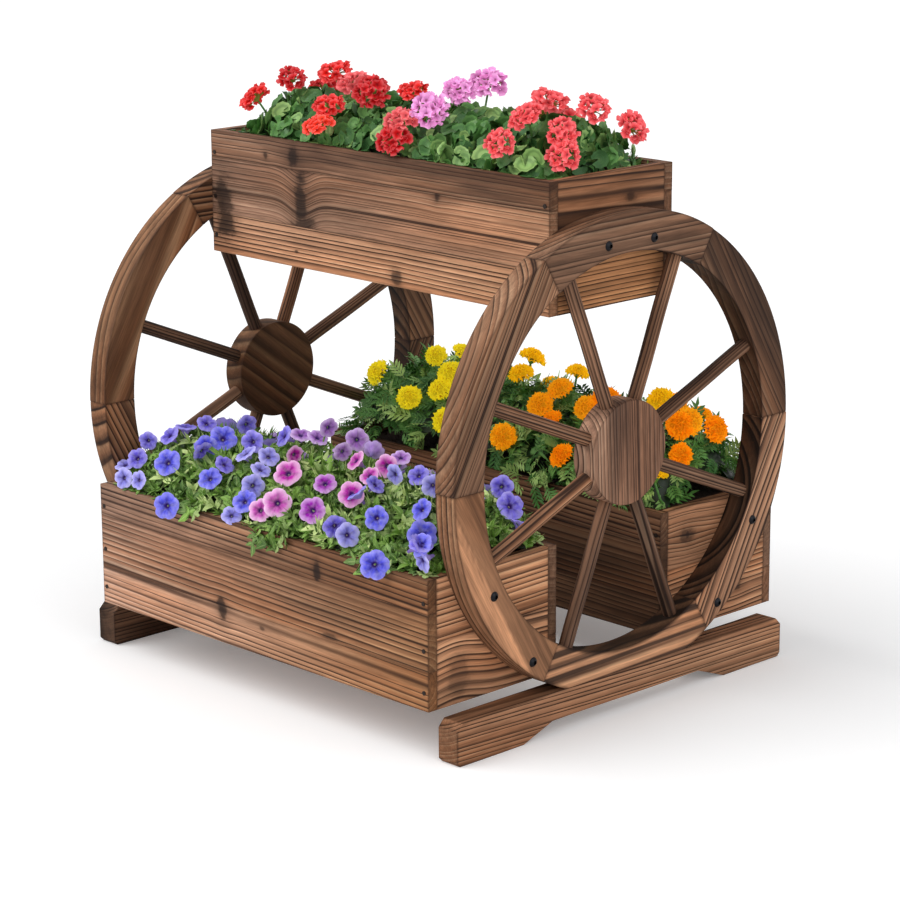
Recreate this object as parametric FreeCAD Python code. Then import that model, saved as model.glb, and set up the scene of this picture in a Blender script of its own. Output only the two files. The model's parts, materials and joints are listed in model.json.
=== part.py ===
"""Flower cart stand: two wagon wheels carry three planter boxes, and each wheel stands on a foot bar.

X runs along the boxes from wheel to wheel, -Y is the front, +Z is up, and the origin is on the
ground under the middle of the stand. Millimetres.
"""

import FreeCAD
import Part
import math
import os

V = FreeCAD.Vector

# ---------------------------------------------------------------- driving dimensions
# wheels
WHEEL_R = 250.0        # outer radius of the rim
RIM_W = 41.0           # radial width of a felloe, one curved board of the rim
WHEEL_T = 27.5         # thickness of rim and hub
WHEEL_FLAT = 18.0      # sawn off the rim's lowest point, so that it stands flat on its bar
HUB_R = 55.0
FELLOES = 6
SPOKES = 8
SPOKE_D = 15.0
SPOKE_SOCKET = 12.0    # how deep a spoke sits in the felloe and in the hub
RIM_DOWEL_D = 8.0      # hidden dowel across each joint between two felloes
RIM_DOWEL_L = 38.0

# foot bars
BAR_L = 496.0
BAR_H = 45.0
FOOT_L = 94.0          # length of each foot left under a bar
RELIEF_H = 15.0        # height cut away between the feet
RELIEF_RUN = 42.0      # length of the slope from a foot up to the relief
BAR_TOP_NIP = 8.0      # corner taken off the top of each bar end
BAR_TOE_NIP = 4.0      # corner taken off the bottom of each bar end

# boxes
BOX_L = 521.0
BOX_W = 181.6
BOX_H = 136.0
BOARD_T = 12.0
TOP_BOX_LAP = 99.4     # how far the top box hangs below the top of the wheels
LOW_BOX_RISE = 27.4    # bottom of a low box above the wheel's uncut lowest point
LOW_BOX_OUT = 10.8     # how far a low box stands out past the wheel, to the front or rear
GROOVE_D = 3.0         # groove in sides and ends that holds the floor slats
FLOOR_UP = 8.0         # underside of the floor above the box's bottom edge
FLOOR_GAP = 5.0        # drain gap between the two slats of a floor
SEAM_W = 1.4           # width of the V where two strips of a side board are glued
SEAM_D = 0.7
TOP_SEAMS = (0.33, 0.78)     # heights of the glued seams, as shares of the box height
LOW_SEAMS = (0.30, 0.74)

# fasteners
NAIL_D = 2.2
NAIL_L = 30.0
NAIL_HEAD_D = 4.6
NAIL_HEAD_T = 0.8
NAIL_HEIGHTS = (0.14, 0.46, 0.82)    # shares of the box height
BOLT_D = 6.0
BOLT_L = 38.0
BOLT_HEAD_D = 10.5
BOLT_HEAD_T = 3.3
BOLT_SOCKET_AF = 4.0   # across the flats of the hexagon socket
BOLT_SOCKET_DEEP = 2.0
BOLT_CLEAR = 0.3       # radial room round a bolt in the wood
INSERT_D = 9.0
INSERT_L = 10.5
INSERT_FLANGE_D = 14.0
INSERT_FLANGE_T = 1.2
TOP_BOLT_Y = 35.0      # bolts of the top box, each side of the middle
TOP_BOLT_OUT = -7.9    # how far a bolt sits outwards from the middle of the rim's width
HIGH_BOLT_IN = 29.0    # upper bolt of a low box, along the rim from the box's top edge
HIGH_BOLT_OUT = -4.3
LOW_BOLT_UP = 10.9     # lower bolt of a low box, above the box's floor
LOW_BOLT_OUT = 8.7
BAR_BOLT_Y = 58.0

# plantings, which lift straight up out of their boxes
SOIL_GAP = 1.5         # room between soil and boards
SOIL_LIFT = 0.3        # room between soil and floor slats
SOIL_DOWN = 13.0       # top of the soil below the box's edge
CLUMPS = 8             # leafy clumps along a box, in each of two rows
CLUMP_R = 40.0
PETUNIA_RISE = (14.0, 36.0)     # clump centres above the soil: outer row, inner row
MARIGOLD_RISE = (42.0, 56.0)
GERANIUM_RISE = (3.0, 10.0)
PETUNIA_D = 36.0
PETUNIA_DEEP = 22.0
MARIGOLD_D = 38.0
MARIGOLD_DEEP = 24.0
GERANIUM_D = 40.0
STEM_D = 3.0
BLOOMS = 9             # blooms in each row of a planting
BLOOM_ROWS = 3
LEAN = 0.18            # how much the rows of clumps and blooms wander, as a share of their pitch

# ---------------------------------------------------------------- places that follow
WHEEL_Z = BAR_H + WHEEL_R - WHEEL_FLAT
RIM_IN = WHEEL_R - RIM_W
RIM_MID = WHEEL_R - RIM_W / 2
WHEEL_X = BOX_L / 2                      # inner face of a wheel
OUTER_X = WHEEL_X + WHEEL_T
BOX_IN_L = BOX_L - 2 * BOARD_T
BOX_IN_W = BOX_W - 2 * BOARD_T
LOW_BOX_Y = WHEEL_R + LOW_BOX_OUT - BOX_W / 2
LOW_BOX_Z = WHEEL_Z - WHEEL_R + LOW_BOX_RISE
TOP_BOX_Z = WHEEL_Z + WHEEL_R - TOP_BOX_LAP
FLOOR_TOP = FLOOR_UP + BOARD_T

BOXES = {
    "front_box": {"y": -LOW_BOX_Y, "z": LOW_BOX_Z, "seams": LOW_SEAMS},
    "rear_box": {"y": LOW_BOX_Y, "z": LOW_BOX_Z, "seams": LOW_SEAMS},
    "top_box": {"y": 0.0, "z": TOP_BOX_Z, "seams": TOP_SEAMS},
}
SIDES = {"left": -1, "right": 1}


# ---------------------------------------------------------------- small helpers
def block(x0, x1, y0, y1, z0, z1):
    return Part.makeBox(x1 - x0, y1 - y0, z1 - z0, V(x0, y0, z0))


def rod(radius, start, end):
    return Part.makeCylinder(radius, (end - start).Length, start, end - start)


def prism(points, x0, x1):
    """A solid with its (y, z) outline repeated from x0 to x1."""
    wire = Part.makePolygon([V(x0, y, z) for y, z in points + points[:1]])
    return Part.Face(wire).extrude(V(x1 - x0, 0, 0))


def on_wheel(side, angle, radius, depth=0.0):
    """A point of a wheel, depth in from its outer face."""
    a = math.radians(angle)
    return V(side * (OUTER_X - depth), radius * math.cos(a), WHEEL_Z + radius * math.sin(a))


def save(name, shape):
    solids = shape.Solids
    made = solids[0] if len(solids) == 1 else Part.makeCompound(solids)
    if not made.isValid():
        raise ValueError(name + " is not a valid solid")
    made.exportStep(os.path.join("parts", name + ".step"))
    print(name, len(solids), "solids", round(sum(s.Volume for s in solids) / 1000, 2), "cm3")


# ---------------------------------------------------------------- fasteners
def bolt(start, inward):
    """Button head bolt with a hexagon socket."""
    dome_r = (BOLT_HEAD_D ** 2 / 4 + BOLT_HEAD_T ** 2) / (2 * BOLT_HEAD_T)
    head = Part.makeSphere(dome_r, V(0, 0, BOLT_HEAD_T - dome_r))
    head = head.common(Part.makeCylinder(BOLT_HEAD_D / 2, BOLT_HEAD_T))
    corner = BOLT_SOCKET_AF / math.sqrt(3)
    hexagon = [V(corner * math.cos(math.radians(60 * k)), corner * math.sin(math.radians(60 * k)),
                 BOLT_HEAD_T) for k in range(7)]
    socket = Part.Face(Part.makePolygon(hexagon)).extrude(V(0, 0, -BOLT_SOCKET_DEEP))
    head = head.cut(socket)
    shank = Part.makeCylinder(BOLT_D / 2, BOLT_L, V(0, 0, -BOLT_L))
    made = head.fuse(shank)
    made.Placement = FreeCAD.Placement(start, FreeCAD.Rotation(V(0, 0, -1), inward))
    return made


def bolt_hole(start, inward, reach):
    return rod(BOLT_D / 2 + BOLT_CLEAR, start, start + inward * reach)


def insert_body(mouth, inward):
    """Threaded insert without its bore, its flange flush at mouth."""
    barrel = rod(INSERT_D / 2, mouth, mouth + inward * INSERT_L)
    flange = rod(INSERT_FLANGE_D / 2, mouth, mouth + inward * INSERT_FLANGE_T)
    return barrel.fuse(flange)


def insert_nut(mouth, inward):
    return insert_body(mouth, inward).cut(rod(BOLT_D / 2, mouth, mouth + inward * INSERT_L))


def rim_bolts():
    """(angle, radius) of each bolt of a wheel, where the rim crosses the box ends."""
    top = math.degrees(math.acos(TOP_BOLT_Y / RIM_MID))
    edge = math.degrees(math.asin((LOW_BOX_Z + BOX_H - WHEEL_Z) / RIM_MID))
    high = edge - math.degrees(HIGH_BOLT_IN / RIM_MID)
    low_z = LOW_BOX_Z + FLOOR_TOP + LOW_BOLT_UP
    low = math.degrees(math.asin((low_z - WHEEL_Z) / (RIM_MID + LOW_BOLT_OUT)))
    rear = [(top, TOP_BOLT_OUT), (high, HIGH_BOLT_OUT), (low, LOW_BOLT_OUT)]
    return [(a, RIM_MID + out) for a, out in rear] + [(180 - a, RIM_MID + out) for a, out in rear]


def rim_bolt_points(side):
    """Where the rim bolts of one wheel bear, on its outer face."""
    return [on_wheel(side, angle, radius) for angle, radius in rim_bolts()]


def end_insert_mouths(side):
    """Mouths of the inserts, on the inner faces of the end boards."""
    return [V(side * BOX_IN_L / 2, p.y, p.z) for p in rim_bolt_points(side)]


def bar_bolt_points(side):
    x = side * (WHEEL_X + WHEEL_T / 2)
    return [V(x, y, RELIEF_H) for y in (-BAR_BOLT_Y, BAR_BOLT_Y)]


def rim_insert_mouths(side):
    """Mouths of the inserts in the flat of the rim, over the bar."""
    return [V(p.x, p.y, BAR_H) for p in bar_bolt_points(side)]


def nail_starts(box):
    """(point under the head on a side board, direction) of each nail of a box."""
    found = []
    for face in (-1, 1):
        for end in (-1, 1):
            for share in NAIL_HEIGHTS:
                x = end * (BOX_L - BOARD_T) / 2
                y = box["y"] + face * BOX_W / 2
                found.append((V(x, y, box["z"] + share * BOX_H), V(0, -face, 0)))
    return found


def nail(start, inward):
    head = rod(NAIL_HEAD_D / 2, start - inward * NAIL_HEAD_T, start)
    return head.fuse(rod(NAIL_D / 2, start, start + inward * NAIL_L))


def nail_holes(box):
    return Part.makeCompound([rod(NAIL_D / 2, p, p + d * NAIL_L) for p, d in nail_starts(box)])


# ---------------------------------------------------------------- wheels
def spoke_angles():
    return [360.0 / SPOKES * (k + 0.5) for k in range(SPOKES)]


def spoke(side, angle):
    half = WHEEL_T / 2
    return rod(SPOKE_D / 2, on_wheel(side, angle, HUB_R - SPOKE_SOCKET, half),
               on_wheel(side, angle, RIM_IN + SPOKE_SOCKET, half))


def rim_dowel(side, angle):
    """Dowel across the joint at this angle, along the rim."""
    a = math.radians(angle)
    along = V(0, -math.sin(a), math.cos(a)) * (RIM_DOWEL_L / 2)
    middle = on_wheel(side, angle, RIM_MID, WHEEL_T / 2)
    return rod(RIM_DOWEL_D / 2, middle - along, middle + along)


def joint_angles():
    return [360.0 / FELLOES * k for k in range(FELLOES)]


def felloe(side, k):
    """One curved board of the rim, from joint k to the next, with its holes."""
    start, span = joint_angles()[k], 360.0 / FELLOES
    out = [on_wheel(side, start + span * t, WHEEL_R) for t in (0, 0.5, 1)]
    back = [on_wheel(side, start + span * t, RIM_IN) for t in (1, 0.5, 0)]
    edges = [Part.Arc(*out).toShape(), Part.makeLine(out[2], back[0]),
             Part.Arc(*back).toShape(), Part.makeLine(back[2], out[0])]
    inward = V(-side, 0, 0)
    made = Part.Face(Part.Wire(edges)).extrude(inward * WHEEL_T)
    under = block(-OUTER_X, OUTER_X, -WHEEL_R, WHEEL_R, BAR_H - WHEEL_FLAT, BAR_H)
    tools = [under]
    tools += [spoke(side, a) for a in spoke_angles()]
    tools += [rim_dowel(side, a) for a in joint_angles()]
    tools += [bolt_hole(p, inward, WHEEL_T) for p in rim_bolt_points(side)]
    tools += [insert_body(p, V(0, 0, 1)) for p in rim_insert_mouths(side)]
    return made.cut(tools)


def hub(side):
    inner, outer = V(side * WHEEL_X, 0, WHEEL_Z), V(side * OUTER_X, 0, WHEEL_Z)
    return rod(HUB_R, inner, outer).cut([spoke(side, a) for a in spoke_angles()])


def foot_bar(side):
    half, foot = BAR_L / 2, BAR_L / 2 - FOOT_L
    slope = foot - RELIEF_RUN
    right = [(slope, RELIEF_H), (foot, 0), (half - BAR_TOE_NIP, 0), (half, BAR_TOE_NIP),
             (half, BAR_H - BAR_TOP_NIP), (half - BAR_TOP_NIP, BAR_H)]
    outline = right + [(-y, z) for y, z in reversed(right)]
    bar = prism(outline, *sorted((side * WHEEL_X, side * OUTER_X)))
    return bar.cut([bolt_hole(p, V(0, 0, 1), BAR_H) for p in bar_bolt_points(side)])


# ---------------------------------------------------------------- boxes
def floor_slats(box):
    half_l, half_w = BOX_IN_L / 2 + GROOVE_D, BOX_IN_W / 2 + GROOVE_D
    z = box["z"] + FLOOR_UP
    rear = block(-half_l, half_l, box["y"] + FLOOR_GAP / 2, box["y"] + half_w, z, z + BOARD_T)
    front = block(-half_l, half_l, box["y"] - half_w, box["y"] - FLOOR_GAP / 2, z, z + BOARD_T)
    return front, rear


def floor_groove(box):
    half_l, half_w = BOX_IN_L / 2 + GROOVE_D, BOX_IN_W / 2 + GROOVE_D
    z = box["z"] + FLOOR_UP
    return block(-half_l, half_l, box["y"] - half_w, box["y"] + half_w, z, z + BOARD_T)


def seam_cuts(box, face):
    """V cuts along the glued seams of a side board's outer face."""
    y = box["y"] + face * BOX_W / 2
    cuts = []
    for share in box["seams"]:
        z = box["z"] + share * BOX_H
        out = [(y, z - SEAM_W / 2), (y, z + SEAM_W / 2), (y - face * SEAM_D, z)]
        cuts.append(prism(out, -BOX_L / 2, BOX_L / 2))
    return cuts


def side_board(box, face):
    """Long board of a box. It covers the ends of the end boards."""
    y0, y1 = sorted((face * BOX_W / 2, face * BOX_IN_W / 2))
    made = block(-BOX_L / 2, BOX_L / 2, box["y"] + y0, box["y"] + y1, box["z"], box["z"] + BOX_H)
    return made.cut([floor_groove(box), nail_holes(box)] + seam_cuts(box, face))


def end_board(box, side):
    x0, x1 = sorted((side * BOX_L / 2, side * BOX_IN_L / 2))
    y0, y1 = box["y"] - BOX_IN_W / 2, box["y"] + BOX_IN_W / 2
    made = block(x0, x1, y0, y1, box["z"], box["z"] + BOX_H)
    inward = V(-side, 0, 0)
    tools = [floor_groove(box), nail_holes(box)]
    tools += [bolt_hole(p, inward, WHEEL_T + BOARD_T) for p in rim_bolt_points(side)]
    tools += [insert_body(p, V(side, 0, 0)) for p in end_insert_mouths(side)]
    return made.cut(tools)


# ---------------------------------------------------------------- plantings
def soil(box):
    half_l, half_w = BOX_IN_L / 2 - SOIL_GAP, BOX_IN_W / 2 - SOIL_GAP
    return block(-half_l, half_l, box["y"] - half_w, box["y"] + half_w,
                 box["z"] + FLOOR_TOP + SOIL_LIFT, soil_top(box))


def soil_top(box):
    return box["z"] + BOX_H - SOIL_DOWN


def wander(k):
    """A steady, uneven step from -1 to 1, so that no two clumps stand alike."""
    return math.sin(2.4 * k + 0.7)


def clump_centres(box, rise):
    """Two rows of leafy clumps. rise is (row away from the middle of the stand, row near it)."""
    out = -1 if box["y"] <= 0 else 1
    pitch = (BOX_IN_L - 2 * SOIL_GAP) / CLUMPS
    centres = []
    for row, up in zip((out, -out), rise):
        for k in range(CLUMPS):
            x = (k - (CLUMPS - 1) / 2 + LEAN * wander(k + 3 * row)) * pitch
            z = soil_top(box) + up + LEAN * CLUMP_R * wander(2 * k + row)
            centres.append(V(x, box["y"] + row * BOX_IN_W / 4, z))
    return centres


def mat_top(box, rise):
    """Top of the close leaves between the clumps, at least level with the box's edge."""
    return soil_top(box) + max(SOIL_DOWN, min(rise))


def foliage(box, rise):
    """Domed clumps in a mat of leaves that fills the box above its soil."""
    half_l, half_w = BOX_IN_L / 2 - SOIL_GAP, BOX_IN_W / 2 - SOIL_GAP
    low = soil_top(box)
    room = block(-half_l, half_l, box["y"] - half_w, box["y"] + half_w, low, low + 4 * CLUMP_R)
    mat = block(-half_l, half_l, box["y"] - half_w, box["y"] + half_w, low, mat_top(box, rise))
    clumps = [Part.makeSphere(CLUMP_R, c) for c in clump_centres(box, rise)]
    return mat.fuse(clumps).common(room)


def mound_height(box, rise, x, y):
    """Height of the leaves at a place, from the clumps under it."""
    tops = [mat_top(box, rise)]
    for c in clump_centres(box, rise):
        away = (x - c.x) ** 2 + (y - c.y) ** 2
        if away < CLUMP_R ** 2:
            tops.append(c.z + math.sqrt(CLUMP_R ** 2 - away))
    return max(tops)


def bloom_places(box, rise, width):
    """Where the blooms stand on the leaves, in rows that keep clear of one another."""
    half_l = BOX_IN_L / 2 - SOIL_GAP - width / 2
    half_w = BOX_IN_W / 2 - SOIL_GAP - width / 2
    pitch = 2 * half_l / (BLOOMS - 1)
    places = []
    for row in range(BLOOM_ROWS):
        y = box["y"] + half_w * (2 * row / (BLOOM_ROWS - 1) - 1)
        for k in range(row % 2, BLOOMS):
            x = -half_l + pitch * (k - 0.5 * (row % 2))
            places.append(V(x, y, mound_height(box, rise, x, y)))
    return places


def petunia(place):
    """Open trumpet, its throat in the leaves."""
    return Part.makeCone(STEM_D / 2, PETUNIA_D / 2, PETUNIA_DEEP, place - V(0, 0, PETUNIA_DEEP / 2))


def marigold(place):
    """Flat round pompon on the leaves."""
    ball = Part.makeSphere(MARIGOLD_D / 2, place)
    slab = Part.makeCylinder(MARIGOLD_D / 2, MARIGOLD_DEEP, place - V(0, 0, MARIGOLD_DEEP / 2))
    return ball.common(slab)


def geranium(place):
    """Ball of florets on a stem that rises out of the leaves."""
    head = place + V(0, 0, GERANIUM_D * 0.6)
    return Part.makeSphere(GERANIUM_D / 2, head).fuse(rod(STEM_D / 2, place - V(0, 0, STEM_D), head))


PLANTINGS = {
    "petunia": ("front_box", PETUNIA_RISE, petunia, PETUNIA_D),
    "marigold": ("rear_box", MARIGOLD_RISE, marigold, MARIGOLD_D),
    "geranium": ("top_box", GERANIUM_RISE, geranium, GERANIUM_D),
}


# ---------------------------------------------------------------- the whole stand
def build():
    os.makedirs("parts", exist_ok=True)
    for name, side in SIDES.items():
        for k in range(FELLOES):
            save(f"{name}_felloe_{k + 1}", felloe(side, k))
        save(f"{name}_hub", hub(side))
        for k, angle in enumerate(spoke_angles()):
            save(f"{name}_spoke_{k + 1}", spoke(side, angle))
        save(f"{name}_foot_bar", foot_bar(side))
    for name, box in BOXES.items():
        save(f"{name}_front_side", side_board(box, -1))
        save(f"{name}_rear_side", side_board(box, 1))
        save(f"{name}_left_end", end_board(box, -1))
        save(f"{name}_right_end", end_board(box, 1))
        save(f"{name}_floor", Part.makeCompound(list(floor_slats(box))))
    dowels, bolts, inserts, nails = [], [], [], []
    for side in SIDES.values():
        inward, up = V(-side, 0, 0), V(0, 0, 1)
        dowels += [rim_dowel(side, a) for a in joint_angles()]
        bolts += [bolt(p, inward) for p in rim_bolt_points(side)]
        bolts += [bolt(p, up) for p in bar_bolt_points(side)]
        inserts += [insert_nut(p, -inward) for p in end_insert_mouths(side)]
        inserts += [insert_nut(p, up) for p in rim_insert_mouths(side)]
    for box in BOXES.values():
        nails += [nail(p, d) for p, d in nail_starts(box)]
    save("rim_dowels", Part.makeCompound(dowels))
    save("socket_bolts", Part.makeCompound(bolts))
    save("insert_nuts", Part.makeCompound(inserts))
    save("box_nails", Part.makeCompound(nails))
    for name, (box_name, rise, bloom, width) in PLANTINGS.items():
        box = BOXES[box_name]
        save(f"{name}_soil", soil(box))
        save(f"{name}_foliage", foliage(box, rise))
        places = bloom_places(box, rise, width)
        save(f"{name}_blooms", Part.makeCompound([bloom(p) for p in places]))


build()
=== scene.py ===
"""Flower cart stand: torched fir wheels, foot bars and planter boxes, planted with flowers."""

from collections import namedtuple
import itertools
import json
import math
import random

import bmesh
import bpy
import numpy as np
from mathutils import Matrix, Vector, noise

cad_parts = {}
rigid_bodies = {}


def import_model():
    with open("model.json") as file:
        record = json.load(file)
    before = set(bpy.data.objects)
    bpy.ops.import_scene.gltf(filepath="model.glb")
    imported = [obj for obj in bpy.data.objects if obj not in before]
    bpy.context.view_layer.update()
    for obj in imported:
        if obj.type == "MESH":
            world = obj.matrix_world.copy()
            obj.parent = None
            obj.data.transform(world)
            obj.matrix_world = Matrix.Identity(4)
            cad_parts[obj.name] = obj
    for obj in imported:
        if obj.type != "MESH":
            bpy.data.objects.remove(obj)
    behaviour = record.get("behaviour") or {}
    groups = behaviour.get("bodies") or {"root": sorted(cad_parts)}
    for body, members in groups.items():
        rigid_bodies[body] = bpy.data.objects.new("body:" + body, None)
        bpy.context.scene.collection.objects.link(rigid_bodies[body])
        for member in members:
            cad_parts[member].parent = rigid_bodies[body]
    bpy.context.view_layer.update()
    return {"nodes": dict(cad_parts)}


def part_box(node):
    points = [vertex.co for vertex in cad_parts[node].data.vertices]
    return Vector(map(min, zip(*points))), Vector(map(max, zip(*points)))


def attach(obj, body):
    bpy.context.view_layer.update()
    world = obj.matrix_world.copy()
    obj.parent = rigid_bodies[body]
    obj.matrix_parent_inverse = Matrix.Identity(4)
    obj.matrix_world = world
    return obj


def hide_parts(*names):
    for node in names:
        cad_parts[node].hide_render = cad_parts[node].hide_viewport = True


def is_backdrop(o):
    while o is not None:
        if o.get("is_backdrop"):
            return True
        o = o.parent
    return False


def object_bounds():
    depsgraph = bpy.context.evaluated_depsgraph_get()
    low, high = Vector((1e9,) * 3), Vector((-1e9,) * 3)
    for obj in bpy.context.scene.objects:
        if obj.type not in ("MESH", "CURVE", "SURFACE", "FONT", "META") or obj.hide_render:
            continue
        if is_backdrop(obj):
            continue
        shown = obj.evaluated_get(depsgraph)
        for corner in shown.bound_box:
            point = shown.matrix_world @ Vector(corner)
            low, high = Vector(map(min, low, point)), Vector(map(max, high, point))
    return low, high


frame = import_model()
MM = 0.001


# ------------------------------------------------------------------ the view
# The stand is seen from its front right, a little above the boxes. The camera comes first because
# the blooms that show are placed along its rays.
CAMERA_PLACE = Vector((2.2662, -2.1694, 1.0386))
CAMERA_YAW = 0.8020
CAMERA_PITCH = 0.2530
CAMERA_ROLL = -0.0060
CAMERA_LENS = 118.41
SENSOR = 36.0
PHOTO = 900

ahead = Vector((-math.sin(CAMERA_YAW) * math.cos(CAMERA_PITCH),
                math.cos(CAMERA_YAW) * math.cos(CAMERA_PITCH),
                -math.sin(CAMERA_PITCH)))
level = ahead.cross(Vector((0, 0, 1))).normalized()
above = level.cross(ahead)
cam_right = level * math.cos(CAMERA_ROLL) + above * math.sin(CAMERA_ROLL)
cam_up = above * math.cos(CAMERA_ROLL) - level * math.sin(CAMERA_ROLL)

camera = bpy.data.objects.new("camera", bpy.data.cameras.new("camera"))
bpy.context.scene.collection.objects.link(camera)
camera.data.lens = CAMERA_LENS
camera.data.sensor_width = SENSOR
camera.matrix_world = Matrix.Translation(CAMERA_PLACE) @ Matrix(
    (cam_right, cam_up, -ahead)).transposed().to_4x4()
bpy.context.scene.camera = camera


def photo_ray(column, row):
    """Direction from the camera through a pixel of the 900 x 900 photograph."""
    pixel = SENSOR / CAMERA_LENS / PHOTO
    return (ahead + cam_right * (column - PHOTO / 2) * pixel
            - cam_up * (row - PHOTO / 2) * pixel).normalized()


# ------------------------------------------------------------------ rims of the wheels
# Each rim is six curved fir boards, dowelled end to end. The wood was torched and then brushed, so
# its soft rings are worn down and the dark hard rings stand up along every board.
RIM_STEP = 2.0            # degrees between the points of a rim
EDGE_ROUND = 0.9 * MM

hub_low, hub_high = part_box("right_hub")
WHEEL_Z = (hub_low.z + hub_high.z) / 2
HUB_R = (hub_high.z - hub_low.z) / 2
WHEEL_IN, WHEEL_OUT = hub_low.x, hub_high.x
top_low, top_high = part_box("right_felloe_2")
WHEEL_R = top_high.z - WHEEL_Z
RIM_IN = (top_low.z - WHEEL_Z) / math.sin(math.radians(60))
FLAT_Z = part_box("right_foot_bar")[1].z
SIDES = {"left": -1, "right": 1}


def srgb(red, green, blue):
    """A colour as seen, 0 to 255, as the linear colour of a socket."""
    return tuple(((c / 255 + 0.055) / 1.055) ** 2.4 if c > 10 else c / 255 / 12.92
                 for c in (red, green, blue)) + (1.0,)


class Wires:
    """Adds nodes to a tree and wires them, so that a formula reads as one."""

    def __init__(self, tree):
        self.tree = tree

    def node(self, kind, inputs=None, **settings):
        made = self.tree.nodes.new(kind)
        for key, value in settings.items():
            setattr(made, key, value)
        for key, value in (inputs or {}).items():
            self.put(made.inputs[key], value)
        return made

    def put(self, socket, value):
        if isinstance(value, bpy.types.NodeSocket):
            self.tree.links.new(value, socket)
        else:
            socket.default_value = value

    def math(self, operation, *values):
        made = self.node("ShaderNodeMath", operation=operation)
        for k, value in enumerate(values):
            self.put(made.inputs[k], value)
        return made.outputs[0]

    def vector(self, operation, *values):
        made = self.node("ShaderNodeVectorMath", operation=operation)
        for k, value in enumerate(values):
            self.put(made.inputs[k], value)
        return made.outputs[1 if operation in ("LENGTH", "DOT_PRODUCT") else 0]

    def scaled(self, vector, factor):
        return self.node("ShaderNodeVectorMath", {0: vector, 3: factor}, operation="SCALE").outputs[0]

    def lerp(self, share, low, high):
        """low at share 0, high at share 1."""
        made = self.node("ShaderNodeMix", {0: share, 2: low, 3: high}, data_type="FLOAT")
        return made.outputs[0]

    def split(self, vector):
        return self.node("ShaderNodeSeparateXYZ", {0: vector}).outputs

    def join(self, x, y, z):
        return self.node("ShaderNodeCombineXYZ", {0: x, 1: y, 2: z}).outputs[0]

    def noise(self, vector, stretch, detail=2.0, rough=0.5):
        """Noise from 0 to 1, with so many waves a metre along each direction."""
        where = self.vector("MULTIPLY", vector, stretch)
        return self.node("ShaderNodeTexNoise", {"Vector": where, "Scale": 1.0, "Detail": detail,
                                                "Roughness": rough}).outputs[0]

    def ramp(self, value, *stops):
        """Straight runs between (place, height) stops."""
        made = self.node("ShaderNodeValToRGB", {0: value})
        points = made.color_ramp.elements
        while len(points) < len(stops):
            points.new(1.0)
        for point, (place, height) in zip(points, stops):
            point.position = place
            point.color = (height, height, height, 1.0)
        return made.outputs[0]

    def blend(self, share, first, second, how="MIX"):
        made = self.node("ShaderNodeMix", data_type="RGBA", blend_type=how)
        for k, value in zip((0, 6, 7), (share, first, second)):
            self.put(made.inputs[k], value)
        return made.outputs[2]

    def attribute(self, name):
        return self.node("ShaderNodeAttribute", attribute_name=name)


def new_group(name, inputs, outputs, kind="ShaderNodeTree"):
    """A node group with named sockets. inputs: name to (type, default)."""
    tree = bpy.data.node_groups.new(name, kind)
    for key, (kind_of, default) in inputs.items():
        socket = tree.interface.new_socket(key, in_out="INPUT", socket_type="NodeSocket" + kind_of)
        if default is not None:
            socket.default_value = default
    for key, kind_of in outputs.items():
        tree.interface.new_socket(key, in_out="OUTPUT", socket_type="NodeSocket" + kind_of)
    wires = Wires(tree)
    return wires, tree.nodes.new("NodeGroupInput").outputs, tree.nodes.new("NodeGroupOutput").inputs


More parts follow.
